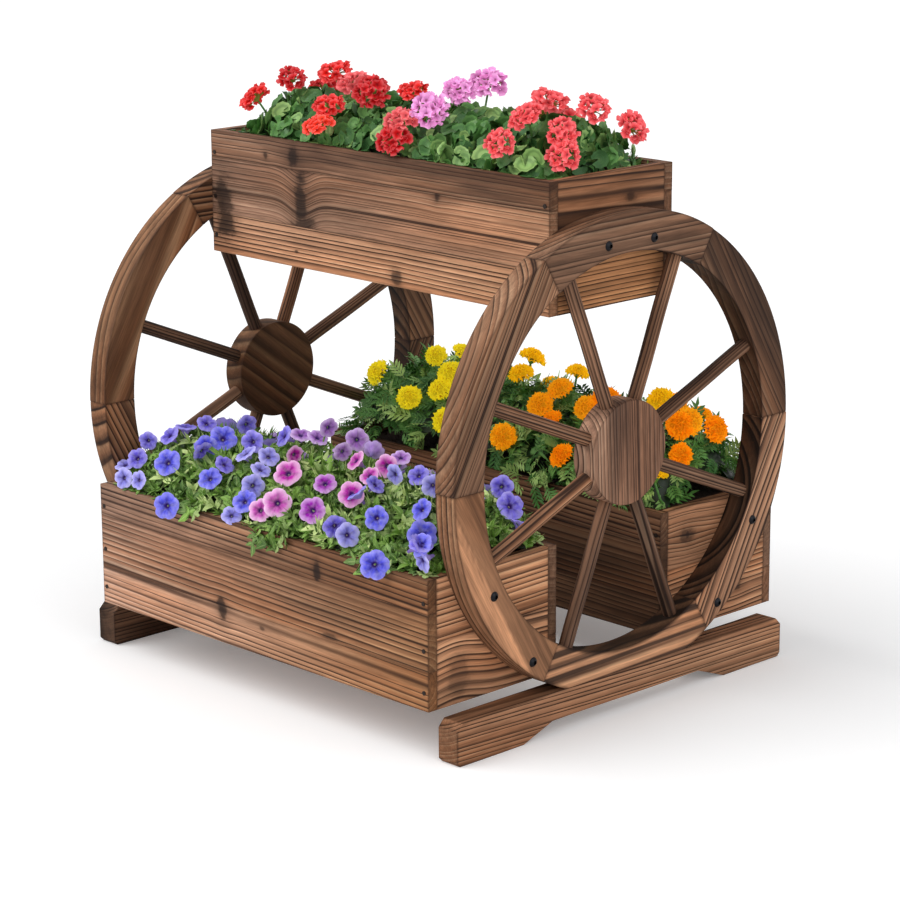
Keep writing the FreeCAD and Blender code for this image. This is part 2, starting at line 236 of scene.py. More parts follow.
def make_torched_fir():
    """Growth rings, scorch and fibres of torched fir, from a board's own grain coordinates.

    Heart is (slope of the rings, distance across and through to the tree's heart), Figure is
    (ring width in mm, depth of the dark rings, how broad they are) and Finish is (brightness,
    redness, scorch).
    """
    wires, get, put = new_group(
        "torched_fir",
        {"Grain": ("Vector", None), "Heart": ("Vector", None), "Figure": ("Vector", None),
         "Finish": ("Vector", None), "Knot": ("Float", 0.0), "Span": ("Vector", None),
         "Half": ("Vector", None), "Soft": ("Color", srgb(182, 138, 111)),
         "Pale": ("Color", srgb(236, 196, 163)), "Hard": ("Color", srgb(43, 27, 21)),
         "Amber": ("Color", srgb(166, 110, 75)),
         "Slate": ("Color", srgb(56, 43, 38)), "Scorch": ("Color", srgb(74, 54, 45)),
         "Char": ("Color", srgb(34, 25, 22))},
        {"Color": "Color", "Height": "Float", "Roughness": "Float"})
    grain = get["Grain"]
    along, across, through = wires.split(grain)
    slope, off, deep = wires.split(get["Heart"])
    width, depth, broad = wires.split(get["Figure"])
    tone, red, torch = wires.split(get["Finish"])
    wander = wires.noise(grain, (1.2, 5.0, 5.0), 1.0)
    ripple = wires.noise(grain, (6.0, 40.0, 40.0), 2.0)
    drift = wires.math("MULTIPLY_ADD", wander, 0.018, wires.math("MULTIPLY", ripple, 0.0016))
    rise = wires.math("ADD", wires.math("MULTIPLY_ADD", along, slope, across), drift)
    reach = wires.vector("LENGTH", wires.join(0.0, wires.math("ADD", rise, off),
                                              wires.math("ADD", through, deep)))
    year = wires.math("DIVIDE", reach, wires.math("MULTIPLY", width, MM))

    def by_year(often):
        return wires.node("ShaderNodeTexNoise", {"W": year, "Scale": often, "Detail": 1.0},
                          noise_dimensions="1D").outputs[0]

    turn = wires.math("FRACT", wires.math("MULTIPLY_ADD", by_year(0.45), 1.7, year))
    thin = wires.ramp(turn, (0.0, 0.30), (0.06, 0.0), (0.64, 0.04), (0.82, 0.70), (0.94, 1.0), (1.0, 0.30))
    wide = wires.ramp(turn, (0.0, 0.55), (0.16, 0.0), (0.42, 0.08), (0.60, 0.85), (0.92, 1.0), (1.0, 0.55))
    loud = wires.ramp(by_year(1.3), (0.34, 0.5), (0.52, 1.0))
    patch = wires.noise(grain, (4.0, 36.0, 36.0), 2.0)
    hard = wires.math("MULTIPLY", wires.lerp(broad, thin, wide), wires.math("MULTIPLY_ADD", patch, 1.4, 0.32))
    hard = wires.math("MULTIPLY", wires.math("MULTIPLY", hard, loud), depth)
    # painted highlight: a pale band beside each dark ring, for the light that a raised ring catches
    pale = wires.ramp(turn, (0.0, 0.9), (0.10, 0.75), (0.26, 0.25), (0.5, 0.0), (0.93, 0.0), (1.0, 0.9))
    gleam = wires.noise(grain, (3.1, 24.0, 24.0), 2.0)
    pale = wires.math("MULTIPLY", pale, wires.ramp(gleam, (0.40, 0.1), (0.64, 0.65)))
    fibre = wires.noise(grain, (24.0, 480.0, 480.0), 3.0, 0.6)
    streak = wires.noise(grain, (5.0, 150.0, 150.0), 3.0, 0.65)
    hair = wires.noise(grain, (60.0, 1500.0, 1500.0), 1.0)
    scorch = wires.ramp(wires.noise(grain, (2.6, 17.0, 17.0), 3.0, 0.6), (0.38, 0.0), (0.62, 1.0))
    scorch = wires.math("MULTIPLY", scorch, torch)
    amber = wires.ramp(wires.noise(grain, (2.2, 12.0, 12.0), 2.0), (0.42, 0.0), (0.60, 1.0))
    colour = wires.blend(wires.math("MULTIPLY", amber, 0.65), get["Soft"], get["Amber"])
    colour = wires.blend(pale, colour, get["Pale"])
    colour = wires.blend(wires.math("MULTIPLY", scorch, 0.85), colour, get["Scorch"])
    colour = wires.blend(wires.math("MINIMUM", hard, 0.95), colour, wires.blend(broad, get["Hard"], get["Slate"]))
    light = wires.math("MULTIPLY_ADD", fibre, 1.05, 0.48)
    light = wires.math("MULTIPLY", light, wires.math("MULTIPLY_ADD", streak, 1.2, 0.40))
    light = wires.math("MULTIPLY", light, wires.math("MULTIPLY_ADD", hair, 0.44, 0.78))
    mood = wires.noise(grain, (1.7, 10.0, 10.0), 2.0)
    light = wires.math("MULTIPLY", light, wires.math("MULTIPLY_ADD", mood, 0.9, 0.52))
    light = wires.math("MULTIPLY", light, wires.math("ADD", tone, 1.0))
    warm = wires.join(wires.math("MULTIPLY_ADD", red, 0.12, 1.0), 1.0,
                      wires.math("MULTIPLY_ADD", red, -0.18, 1.0))
    colour = wires.blend(1.0, colour, wires.scaled(warm, light), "MULTIPLY")
    colour = wires.blend(get["Knot"], colour, get["Char"])
    # the middle one of the three distances to the faces is the distance to an edge
    near = wires.vector("SUBTRACT", get["Half"], wires.vector("ABSOLUTE", get["Span"]))
    a, b, c = wires.split(near)
    edge = wires.math("MAXIMUM", wires.math("MINIMUM", a, b),
                      wires.math("MINIMUM", wires.math("MAXIMUM", a, b), c))
    rub = wires.noise(grain, (60.0, 200.0, 200.0), 2.0)
    edge = wires.math("DIVIDE", edge, wires.math("MULTIPLY_ADD", rub, 0.0050, 0.0002))
    worn = wires.ramp(edge, (0.0, 0.55), (1.0, 0.0))
    colour = wires.blend(wires.math("MULTIPLY", worn, 0.85), colour, get["Hard"])
    wires.put(put["Color"], colour)
    ridge = wires.math("MULTIPLY", hard, wires.math("MULTIPLY_ADD", broad, -0.6, 0.85))
    high = wires.math("MULTIPLY_ADD", fibre, 0.45, ridge)
    wires.put(put["Height"], wires.math("MULTIPLY_ADD", hair, 0.12, high))
    wires.put(put["Roughness"], wires.math("MULTIPLY_ADD", fibre, 0.22, 0.62))
    return wires.tree


def make_knot():
    """One knot: the grain flows round it, and it is darker than the wood."""
    wires, get, put = new_group(
        "knot",
        {"Grain": ("Vector", None), "Knot": ("Float", 0.0), "Along": ("Float", 0.0),
         "Across": ("Float", 0.0), "Long": ("Float", 0.01), "Wide": ("Float", 0.01),
         "Bulge": ("Float", 0.0), "Dip": ("Float", 0.0), "Dark": ("Float", 0.9)},
        {"Grain": "Vector", "Knot": "Float"})
    u, v, w = wires.split(get["Grain"])
    du = wires.math("DIVIDE", wires.math("SUBTRACT", u, get["Along"]), get["Long"])
    dv = wires.math("DIVIDE", wires.math("SUBTRACT", v, get["Across"]), get["Wide"])
    rough = wires.noise(get["Grain"], (50.0, 90.0, 90.0), 3.0, 0.6)
    away = wires.vector("LENGTH", wires.join(du, dv, 0.0))
    away = wires.math("ADD", away, wires.math("MULTIPLY_ADD", rough, 1.7, -0.85))
    spot = wires.ramp(wires.math("MULTIPLY", away, 0.75), (0.0, 0.92), (0.30, 0.88),
                      (0.50, 0.84), (0.74, 0.45), (1.0, 0.0))
    halo = wires.math("EXPONENT", wires.math("MULTIPLY", wires.math("MULTIPLY", away, away), -0.55))
    spot = wires.math("MULTIPLY", wires.math("MAXIMUM", spot, wires.math("MULTIPLY", halo, 0.55)), get["Dark"])
    wires.put(put["Knot"], wires.math("MAXIMUM", spot, get["Knot"]))
    flow = wires.math("EXPONENT", wires.math("MULTIPLY", wires.math("MULTIPLY", du, du), -0.16))
    fade = wires.math("EXPONENT", wires.math("MULTIPLY", wires.math("ABSOLUTE", dv), -0.40))
    part = wires.math("MULTIPLY", wires.math("MULTIPLY", wires.math("TANH", dv), fade), get["Bulge"])
    push = wires.math("MULTIPLY", flow, wires.math("ADD", part, get["Dip"]))
    wires.put(put["Grain"], wires.join(u, wires.math("SUBTRACT", v, push), w))
    return wires.tree


TORCHED_FIR = make_torched_fir()
KNOT = make_knot()


def fir_material(name, knots=(), relief=0.20, **colours):
    """Torched fir. knots: (piece's place in metres, (along, across, long, wide, bulge, dip in mm, dark))."""
    material = bpy.data.materials.new(name)
    material.use_nodes = True
    wires = Wires(material.node_tree)
    shader = material.node_tree.nodes["Principled BSDF"]
    grain, knot = wires.attribute("grain").outputs["Vector"], 0.0
    for place, (along, across, long, wide, bulge, dip, dark) in knots:
        made = wires.node("ShaderNodeGroup", node_tree=KNOT)
        for key, value in (("Along", place + along * MM), ("Across", across * MM), ("Long", long * MM),
                           ("Wide", wide * MM), ("Bulge", bulge * MM), ("Dip", dip * MM), ("Dark", dark)):
            made.inputs[key].default_value = value
        wires.put(made.inputs["Grain"], grain)
        wires.put(made.inputs["Knot"], knot)
        grain, knot = made.outputs["Grain"], made.outputs["Knot"]
    fir = wires.node("ShaderNodeGroup", node_tree=TORCHED_FIR)
    wires.put(fir.inputs["Grain"], grain)
    wires.put(fir.inputs["Knot"], knot)
    for key in ("Heart", "Figure", "Finish", "Span", "Half"):
        wires.put(fir.inputs[key], wires.attribute(key.lower()).outputs["Vector"])
    for key, value in colours.items():
        fir.inputs[key].default_value = value
    bump = wires.node("ShaderNodeBump", {"Height": fir.outputs["Height"], "Distance": relief * MM,
                                         "Strength": 1.0})
    wires.put(shader.inputs["Base Color"], fir.outputs["Color"])
    wires.put(shader.inputs["Roughness"], fir.outputs["Roughness"])
    wires.put(shader.inputs["Normal"], bump.outputs["Normal"])
    shader.inputs["Specular IOR Level"].default_value = 0.14
    return material


# fade is how much darker, and redder, a board gets from its middle to its far end
Wood = namedtuple("Wood", "tone red scorch rings depth broad slope heart deep fade",
                  defaults=(0.0, 0.2, 0.5, 7.0, 1.0, 0.0, 0.0, 0.09, 0.03, 0.0))
PLACE = 2.0               # metres of grain between one piece and the next, so that none look alike
places = itertools.count(1)


def write_wood(mesh, wood, along, across, through, span, half, sawn=0.0):
    """The grain of one piece, by point. wood.heart and wood.deep lead to the heart, in metres.

    sawn is how much darker the two ends of the piece are, where the torch bites deeper.
    """
    place = PLACE * next(places)
    write_points(mesh, "grain", np.stack([along + place, across, through], 1))
    write_points(mesh, "heart", (wood.slope, wood.heart - wood.slope * place, wood.deep))
    end = np.abs(span[:, 0]) > half[0] - 0.2 * MM
    plain = np.ones(len(end))
    write_points(mesh, "figure", np.stack([plain * wood.rings, np.where(end & (sawn > 0), 0.3, wood.depth),
                                           plain * wood.broad], 1))
    far = wood.fade * span[:, 0] / half[0]
    tone = (1 + wood.tone) * (1 - far) * (1 - sawn * end) - 1
    write_points(mesh, "finish", np.stack([tone, wood.red + 3 * far, plain * wood.scorch], 1))
    write_points(mesh, "span", span)
    write_points(mesh, "half", half)
    return place


def points_of(mesh):
    return np.array([v.co for v in mesh.vertices], float).reshape(-1, 3)


def write_points(mesh, name, rows):
    """A vector for each point of the mesh, or one for all of them."""
    rows = np.broadcast_to(np.asarray(rows, np.float32), (len(mesh.vertices), 3))
    layer = mesh.attributes.get(name) or mesh.attributes.new(name, "FLOAT_VECTOR", "POINT")
    layer.data.foreach_set("vector", np.ascontiguousarray(rows).ravel())


def add_piece(name, mesh, material, body, nodes, smooth=35.0, flat_faces=True):
    """Puts a finished mesh in the scene in place of its CAD nodes."""
    mesh.materials.clear()
    mesh.materials.append(material)
    mesh.shade_smooth()
    mesh.set_sharp_from_angle(angle=math.radians(smooth))
    piece = bpy.data.objects.new(name, mesh)
    bpy.context.scene.collection.objects.link(piece)
    if flat_faces:
        piece.modifiers.new("even_shading", "WEIGHTED_NORMAL").keep_sharp = True
    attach(piece, body)
    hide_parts(*nodes)
    return piece


def grown(tree, settings, start=None, extra=None):
    """The plain mesh that a geometry tree makes. settings: input name to value."""
    holder = bpy.data.objects.new("growing", start or bpy.data.meshes.new("growing"))
    bpy.context.scene.collection.objects.link(holder)
    modifier = holder.modifiers.new("grow", "NODES")
    modifier.node_group = tree
    for item in tree.interface.items_tree:
        if item.item_type == "SOCKET" and item.in_out == "INPUT" and item.name in settings:
            modifier[item.identifier] = settings[item.name]
    for kind, values in (extra or {}).items():
        more = holder.modifiers.new(kind.lower(), kind)
        for key, value in values.items():
            setattr(more, key, value)
    seen = holder.evaluated_get(bpy.context.evaluated_depsgraph_get())
    mesh = bpy.data.meshes.new_from_object(seen)
    bpy.data.objects.remove(holder)
    return mesh


def make_bent_board():
    """A board bent round the hub: a box whose length is an angle and whose width is a radius."""
    wires, get, put = new_group(
        "bent_board",
        {"Inner": ("Float", 0.2), "Outer": ("Float", 0.25), "From": ("Float", 0.0), "Span": ("Float", 60.0),
         "Back": ("Float", 0.0), "Front": ("Float", 0.03), "Centre": ("Float", 0.28),
         "Flat": ("Float", 0.0), "Steps": ("Int", 30), "Material": ("Material", None)},
        {"Geometry": "Geometry"}, "GeometryNodeTree")
    block = wires.node("GeometryNodeMeshCube", {"Size": (1.0, 1.0, 1.0), "Vertices X": 3,
                                                "Vertices Y": get["Steps"], "Vertices Z": 11})
    deep, turn, wide = wires.split(wires.node("GeometryNodeInputPosition").outputs[0])
    turn, wide, deep = (wires.math("ADD", value, 0.5) for value in (turn, wide, deep))
    angle = wires.math("RADIANS", wires.math("MULTIPLY_ADD", turn, get["Span"], get["From"]))
    reach = wires.math("MULTIPLY_ADD", wide, wires.math("SUBTRACT", get["Outer"], get["Inner"]), get["Inner"])
    x = wires.math("MULTIPLY_ADD", deep, wires.math("SUBTRACT", get["Front"], get["Back"]), get["Back"])
    y = wires.math("MULTIPLY", reach, wires.math("COSINE", angle))
    z = wires.math("MULTIPLY_ADD", reach, wires.math("SINE", angle), get["Centre"])
    z = wires.math("MAXIMUM", z, get["Flat"])
    moved = wires.node("GeometryNodeSetPosition", {"Geometry": block.outputs[0], "Position": wires.join(x, y, z)})
    real = wires.node("GeometryNodeRealizeInstances", {0: moved.outputs[0]})
    done = wires.node("GeometryNodeSetMaterial", {"Geometry": real.outputs[0], "Material": get["Material"]})
    wires.put(put["Geometry"], done.outputs[0])
    return wires.tree


BENT_BOARD = make_bent_board()
# the wood of each board, from the rear joint round over the top
RIGHT_RIM = (
    Wood(-0.56, 0.4, 1.0, 6, 0.75, 0.3, 0.02, 0.07, 0.05),
    Wood(-0.42, 0.3, 1.0, 6, 0.9, 0.3, 0.02, -0.10, 0.05),
    Wood(-0.42, 0.5, 0.7, 4.4, 0.95, 0.1, 0.02, -0.14, 0.05),
    Wood(0.36, 1.0, 0.1, 8, 0.9, 0.2, 0.00, -0.022, 0.07),
    Wood(0.16, 0.9, 0.2, 12, 1.5, 1.0, 0.02, 0.10, 0.04),
    Wood(0.10, 0.5, 0.3, 6.5, 1.3, 0.5, 0.03, -0.10, 0.05),
)
# the far, left wheel's boards are painted darker all round as shade, besides their own grain
LEFT_RIM = (
    Wood(-0.50, 0.5, 0.8, 7, 1.1, 0.5, 0.02, 0.06, 0.02),
    Wood(-0.40, 0.7, 0.8, 7, 1.3, 0.6, 0.00, -0.10, 0.03),
    Wood(-0.32, 1.0, 0.7, 9, 0.6, 0.3, 0.02, -0.03, 0.05),
    Wood(-0.34, 0.8, 0.6, 7, 1.2, 0.4, -0.04, 0.12, 0.02),
    Wood(-0.44, 0.5, 0.7, 6, 1.2, 0.4, 0.02, 0.08, 0.02),
    Wood(-0.48, 0.5, 0.7, 6, 1.2, 0.4, 0.03, -0.10, 0.02),
)
RIM_INSIDE_SHADE = -0.80       # brightness of the rim's inner surface: painted shade inside the rim
OUTSIDE_TONE = -0.40      # and of its outer one, darker than its faces
CORE = ("right", 3)       # the board cut half from the dark core of its tree, half from the pale rest
CORE_EDGE, CORE_TONE = 20 * MM, -0.72
rim_wood = fir_material("torched_rim")
shake = random.Random(11)
for name, side in SIDES.items():
    for k, wood in enumerate(RIGHT_RIM if side > 0 else LEFT_RIM):
        proud = shake.uniform(-0.3, 0.3) * MM
        back, front = sorted((side * WHEEL_IN, side * (WHEEL_OUT + proud)))
        start, inner, outer = 60.0 * k, RIM_IN + shake.uniform(-0.5, 0.5) * MM, WHEEL_R + proud
        mesh = grown(BENT_BOARD, {
            "Inner": inner, "Outer": outer, "From": start, "Span": 60.0, "Back": back, "Front": front,
            "Centre": WHEEL_Z, "Flat": FLAT_Z if k == 4 else 0.0, "Steps": int(60 / RIM_STEP) + 1,
            "Material": rim_wood},
            extra={"BEVEL": {"width": EDGE_ROUND, "segments": 2, "angle_limit": math.radians(50)}})
        p = points_of(mesh) - np.array((side * (WHEEL_IN + WHEEL_OUT) / 2, 0, WHEEL_Z))
        middle = math.radians(start + 30)
        radius = np.hypot(p[:, 1], p[:, 2])
        around = (np.arctan2(p[:, 2], p[:, 1]) - middle + math.pi) % (2 * math.pi) - math.pi
        chord = -math.sin(middle) * p[:, 1] + math.cos(middle) * p[:, 2]
        rise = math.cos(middle) * p[:, 1] + math.sin(middle) * p[:, 2] - RIM_IN
        span = np.stack([around * RIM_IN, radius - (inner + outer) / 2, p[:, 0]], 1)
        half = (RIM_IN * math.radians(30), (outer - inner) / 2, (WHEEL_OUT - WHEEL_IN) / 2)
        write_wood(mesh, wood, chord, rise, p[:, 0], span, half)
        tone = wood.tone + 0 * radius
        if (name, k) == CORE:
            tone += CORE_TONE * np.clip((CORE_EDGE - rise) / (3 * MM), 0, 1)
        tone = np.where(radius < inner + 0.3 * MM, RIM_INSIDE_SHADE, np.where(radius > outer - 0.3 * MM, OUTSIDE_TONE, tone))
        write_points(mesh, "finish", np.stack([tone, 0 * tone + wood.red, 0 * tone + wood.scorch], 1))
        add_piece(f"{name}_rim_board_{k + 1}", mesh, rim_wood, "stand", [f"{name}_felloe_{k + 1}"])


# ------------------------------------------------------------------ hubs
# Each hub is one thick round block of the same fir, bored round its edge for the
# spokes and eased where the saw left it sharp.
HUB_STEPS = 96
HUB_LIE = {"left": math.radians(129), "right": 0.0}      # how far its grain leans from upright
hub_wood = fir_material("torched_hub")
for name, side in SIDES.items():
    shape = bmesh.new()
    bmesh.ops.create_cone(shape, cap_ends=True, segments=HUB_STEPS, radius1=HUB_R, radius2=HUB_R,
                          depth=WHEEL_OUT - WHEEL_IN)
    middle = Vector((side * (WHEEL_IN + WHEEL_OUT) / 2, 0, WHEEL_Z))
    bmesh.ops.transform(shape, verts=shape.verts,
                        matrix=Matrix.Translation(middle) @ Matrix.Rotation(math.pi / 2, 4, "Y"))
    rims = [e for e in shape.edges if abs(e.calc_face_angle(0)) > 1.2]
    bmesh.ops.bevel(shape, geom=rims, offset=1.4 * MM, segments=3, affect="EDGES", profile=0.6)
    mesh = bpy.data.meshes.new(name + "_hub_block")
    shape.to_mesh(mesh)
    shape.free()
    p = points_of(mesh) - np.array(middle)
    wood = Wood(0.06, -0.1, 0.9, 4.2, 1.0, 0.2, 0.05, 0.10, 0.03)
    # the left hub's low tone is painted shade; its ring width, depth and redness are its own
    if side < 0:
        wood = wood._replace(tone=-0.64, red=1.0, rings=15, depth=0.8, broad=0.5)
    lie = HUB_LIE[name]
    span = np.stack([p[:, 0], np.hypot(p[:, 1], p[:, 2]), p[:, 0]], 1)
    write_wood(mesh, wood, math.sin(lie) * p[:, 1] + math.cos(lie) * p[:, 2],
               math.cos(lie) * p[:, 1] - math.sin(lie) * p[:, 2], p[:, 0], span, ((WHEEL_OUT - WHEEL_IN) / 2, HUB_R, 1.0))
    add_piece(name + "_hub_block", mesh, hub_wood, "stand", [name + "_hub"])


# ------------------------------------------------------------------ spokes
# Eight turned rods stand between each hub and its rim. They were torched with the wheel and show
# long dark streaks along their length.
SPOKE_SIDES = 20
SPOKE_RINGS = 14
SPOKE_TONES = np.array((-0.20, -0.32, -0.04, -0.40, -0.52, -0.30, -0.42, 0.02))   # from the top, forward
# the left wheel's spokes are painted darker than the right ones: painted shade
SPOKE_TONES_LEFT = SPOKE_TONES * 0.5 - 0.30
spoke_low, spoke_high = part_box("right_spoke_1")
SPOKE_R = (spoke_high.x - spoke_low.x) / 2
spoke_wood = fir_material("torched_spoke")


def make_spokes():
    """Rods in a ring round the hub, each with a number of its own."""
    wires, get, put = new_group(
        "spokes",
        {"Count": ("Int", 8), "Turn": ("Float", 0.0), "Radius": ("Float", 0.007), "From": ("Float", 0.05),
         "To": ("Float", 0.2), "Middle": ("Vector", None), "Material": ("Material", None)},
        {"Geometry": "Geometry"}, "GeometryNodeTree")
    long = wires.math("SUBTRACT", get["To"], get["From"])
    rod = wires.node("GeometryNodeMeshCylinder", {"Vertices": SPOKE_SIDES, "Side Segments": SPOKE_RINGS,
                                                  "Radius": get["Radius"], "Depth": long})
    up = wires.math("ADD", get["From"], wires.math("MULTIPLY", long, 0.5))
    lifted = wires.node("GeometryNodeTransform", {"Geometry": rod.outputs[0],
                                                  "Translation": wires.join(0.0, 0.0, up)})
    points = wires.node("GeometryNodePoints", {"Count": get["Count"]})
    index = wires.node("GeometryNodeInputIndex").outputs[0]
    angle = wires.math("ADD", get["Turn"], wires.math("DIVIDE", wires.math("MULTIPLY", index, math.tau),
                                                      get["Count"]))
    placed = wires.node("GeometryNodeInstanceOnPoints", {
        "Points": points.outputs[0], "Instance": lifted.outputs[0], "Rotation": wires.join(angle, 0.0, 0.0)})
    marked = wires.node("GeometryNodeStoreNamedAttribute", {"Geometry": placed.outputs[0], "Name": "number",
                                                            "Value": index}, domain="INSTANCE")
    real = wires.node("GeometryNodeRealizeInstances", {0: marked.outputs[0]})
    centred = wires.node("GeometryNodeTransform", {"Geometry": real.outputs[0], "Translation": get["Middle"]})
    done = wires.node("GeometryNodeSetMaterial", {"Geometry": centred.outputs[0], "Material": get["Material"]})
    wires.put(put["Geometry"], done.outputs[0])
    return wires.tree


SPOKES = make_spokes()
for name, side in SIDES.items():
    middle = Vector((side * (WHEEL_IN + WHEEL_OUT) / 2, 0, WHEEL_Z))
    mesh = grown(SPOKES, {"Count": 8, "Turn": math.tau / 16, "Radius": SPOKE_R, "From": HUB_R - 8 * MM,
                          "To": RIM_IN + 8 * MM, "Middle": middle, "Material": spoke_wood})
    number = np.zeros(len(mesh.vertices), np.float32)
    mesh.attributes["number"].data.foreach_get("value", number)
    p = points_of(mesh) - np.array(middle)
    turn = math.tau / 16 + number * math.tau / 8
    along = -np.sin(turn) * p[:, 1] + np.cos(turn) * p[:, 2]
    aside = np.cos(turn) * p[:, 1] + np.sin(turn) * p[:, 2]
    wobble = np.sin(along * 60 + number * 2.1) * 0.25 * MM
    wood = Wood(-0.24, 0.4, 1.0, 3.2, 1.3, 0.4, 0.0, 0.02, 0.012)
    write_wood(mesh, wood, along + number * PLACE / 9, aside + 0.008 * np.sin(number * 4),
               p[:, 0] + 0.01 * np.cos(number * 3), 0 * p, (1, 1, 1))
    shade = (SPOKE_TONES if side > 0 else SPOKE_TONES_LEFT)[number.astype(int)]
    write_points(mesh, "finish", np.stack([shade, 0.6 + shade, wood.scorch + 0 * shade], 1))
    moved = points_of(mesh) + np.stack([wobble, 0 * wobble, 0 * wobble], 1)
    mesh.vertices.foreach_set("co", moved.astype(np.float32).ravel())
    add_piece(name + "_spoke_ring", mesh, spoke_wood, "stand",
              [f"{name}_spoke_{k + 1}" for k in range(8)])


# ------------------------------------------------------------------ foot bars
# A bar under each wheel keeps it from rolling. It is sawn from one stick, cut away below between its
# two feet, with its end corners taken off.
BAR_STEP = 12 * MM
bar_wood = fir_material("torched_bar")


def eased(shape, amount, segments=2, least=0.9):
    """Rounds the sharp edges of a shape."""
    sharp = [e for e in shape.edges if len(e.link_faces) == 2 and e.calc_face_angle(0) > least]
    bmesh.ops.bevel(shape, geom=sharp, offset=amount, segments=segments, affect="EDGES", profile=0.6)


def roughened(shape, amount, waves, seed):
    """Moves every point a little, as hand sanding leaves a board."""
    for v in shape.verts:
        v.co += noise.noise_vector(v.co * waves + Vector((seed, seed * 0.7, 0))) * amount


def bar_outline():
    """The (y, z) corners of a bar, read from its CAD solid, in order round it."""
    mesh = frame["nodes"]["right_foot_bar"].data
    face = max(v.co.x for v in mesh.vertices)
    corners = {(round(v.co.y, 4), round(v.co.z, 4)) for v in mesh.vertices if face - v.co.x < 1e-5}
    top = max(z for y, z in corners)
    ends = max(y for y, z in corners)
    high = sorted(c for c in corners if c[1] > top * 0.5)
    low = sorted((c for c in corners if c[1] <= top * 0.5), reverse=True)
    return high + low, ends


outline, BAR_HALF = bar_outline()
for name, side in SIDES.items():
    back, front = sorted((side * WHEEL_IN, side * WHEEL_OUT))
    shape = bmesh.new()
    ring = [shape.verts.new((back, y, z)) for y, z in outline]
    face = shape.faces.new(ring)
    made = bmesh.ops.extrude_face_region(shape, geom=[face])
    bmesh.ops.translate(shape, vec=(front - back, 0, 0),
                        verts=[v for v in made["geom"] if isinstance(v, bmesh.types.BMVert)])
    bmesh.ops.recalc_face_normals(shape, faces=shape.faces)
    eased(shape, 1.1 * MM, least=0.3)
    for cut in np.arange(-BAR_HALF + BAR_STEP, BAR_HALF, BAR_STEP):
        bmesh.ops.bisect_plane(shape, geom=shape.verts[:] + shape.edges[:] + shape.faces[:],
                               plane_co=(0, cut, 0), plane_no=(0, 1, 0))
    roughened(shape, 0.35 * MM, 18, side)
    mesh = bpy.data.meshes.new(name + "_bar")
    shape.to_mesh(mesh)
    shape.free()
    p = points_of(mesh) - np.array((side * (WHEEL_IN + WHEEL_OUT) / 2, 0, FLAT_Z / 2))
    wood = Wood(-0.12, 0.8, 0.4, 4.2, 1.25, 0.15, 0.02, -0.07, 0.02)
    # the left bar's low tone is painted shade
    if side < 0:
        wood = wood._replace(tone=-0.62, red=0.5, scorch=1.0)
    write_wood(mesh, wood, p[:, 1], p[:, 2], p[:, 0], np.stack([p[:, 1], p[:, 2], p[:, 0]], 1),
               (BAR_HALF, FLAT_Z / 2, (WHEEL_OUT - WHEEL_IN) / 2), sawn=0.48)
    # painted shade: the bar's top, under the rim, is painted darker; its ends are darker end grain
    shade = (1 + wood.tone) * np.where(p[:, 2] > FLAT_Z / 2 - 0.6 * MM, 0.66, 1.0)
    shade = shade * np.where(np.abs(p[:, 1]) > BAR_HALF - 1 * MM, 0.60, 1.0) - 1
    write_points(mesh, "finish", np.stack([shade, 0 * shade + wood.red, 0 * shade + wood.scorch], 1))
    add_piece(name + "_bar", mesh, bar_wood, "stand", [name + "_foot_bar"])


# ------------------------------------------------------------------ boxes
# Each box has two long sides that cover its end boards, and a floor of two slats. A side is glued up
# from strips of different boards, so colour and ring width change at every seam.
BOARD_STEP = 26 * MM
SEAM_EDGE = 0.5 * MM
BOARD_EDGE = 0.8 * MM


def strip_board(node, along, across, strips, seed):
    """A board of glued strips. strips: (share of the width at its top, its wood, its knots)."""
    low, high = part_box(node)
    through = 3 - along - across
    below, parts, knots = 0.0, [], []
    for k, (share, wood, *marks) in enumerate(strips):
        size, middle = [0, 0, 0], [0, 0, 0]
        for axis in (along, through):
            size[axis] = high[axis] - low[axis]
            middle[axis] = (high[axis] + low[axis]) / 2
        size[across] = (share - below) * (high[across] - low[across])
        middle[across] = low[across] + (below + share) / 2 * (high[across] - low[across])
        shape = bmesh.new()
        bmesh.ops.create_cube(shape, size=1.0)
        bmesh.ops.scale(shape, vec=size, verts=shape.verts)
        eased(shape, SEAM_EDGE if len(strips) > 1 else BOARD_EDGE)
        slices = max(2, int(size[along] / BOARD_STEP))
        normal = [0, 0, 0]
        normal[along] = 1
        for cut in range(1, slices):
            where = [0, 0, 0]
            where[along] = (cut / slices - 0.5) * size[along]
            bmesh.ops.bisect_plane(shape, geom=shape.verts[:] + shape.edges[:] + shape.faces[:],
                                   plane_co=where, plane_no=normal)
        local = np.array([v.co for v in shape.verts], float)
        bmesh.ops.translate(shape, vec=middle, verts=shape.verts)
        roughened(shape, 0.25 * MM, 14, seed + k)
        part = bpy.data.meshes.new("strip")
        shape.to_mesh(part)
        shape.free()
        place = write_wood(part, wood, local[:, along], local[:, across] + middle[across] - low[across],
                           local[:, through], local[:, [along, across, through]],
                           (size[along] / 2, size[across] / 2, size[through] / 2), sawn=0.40)
        knots += [(place, mark) for mark in marks]
        parts.append(part)
        below = share
    material = fir_material("torched_" + node, knots) if knots else board_wood
    add_piece(node + "_board", joined(parts, node), material, "stand", [node], smooth=30.0)


def joined(parts, name):
    """One mesh of several, with all that is written on their points."""
    shape = bmesh.new()
    for part in parts:
        shape.from_mesh(part)
    whole = bpy.data.meshes.new(name)
    shape.to_mesh(whole)
    shape.free()
    return whole


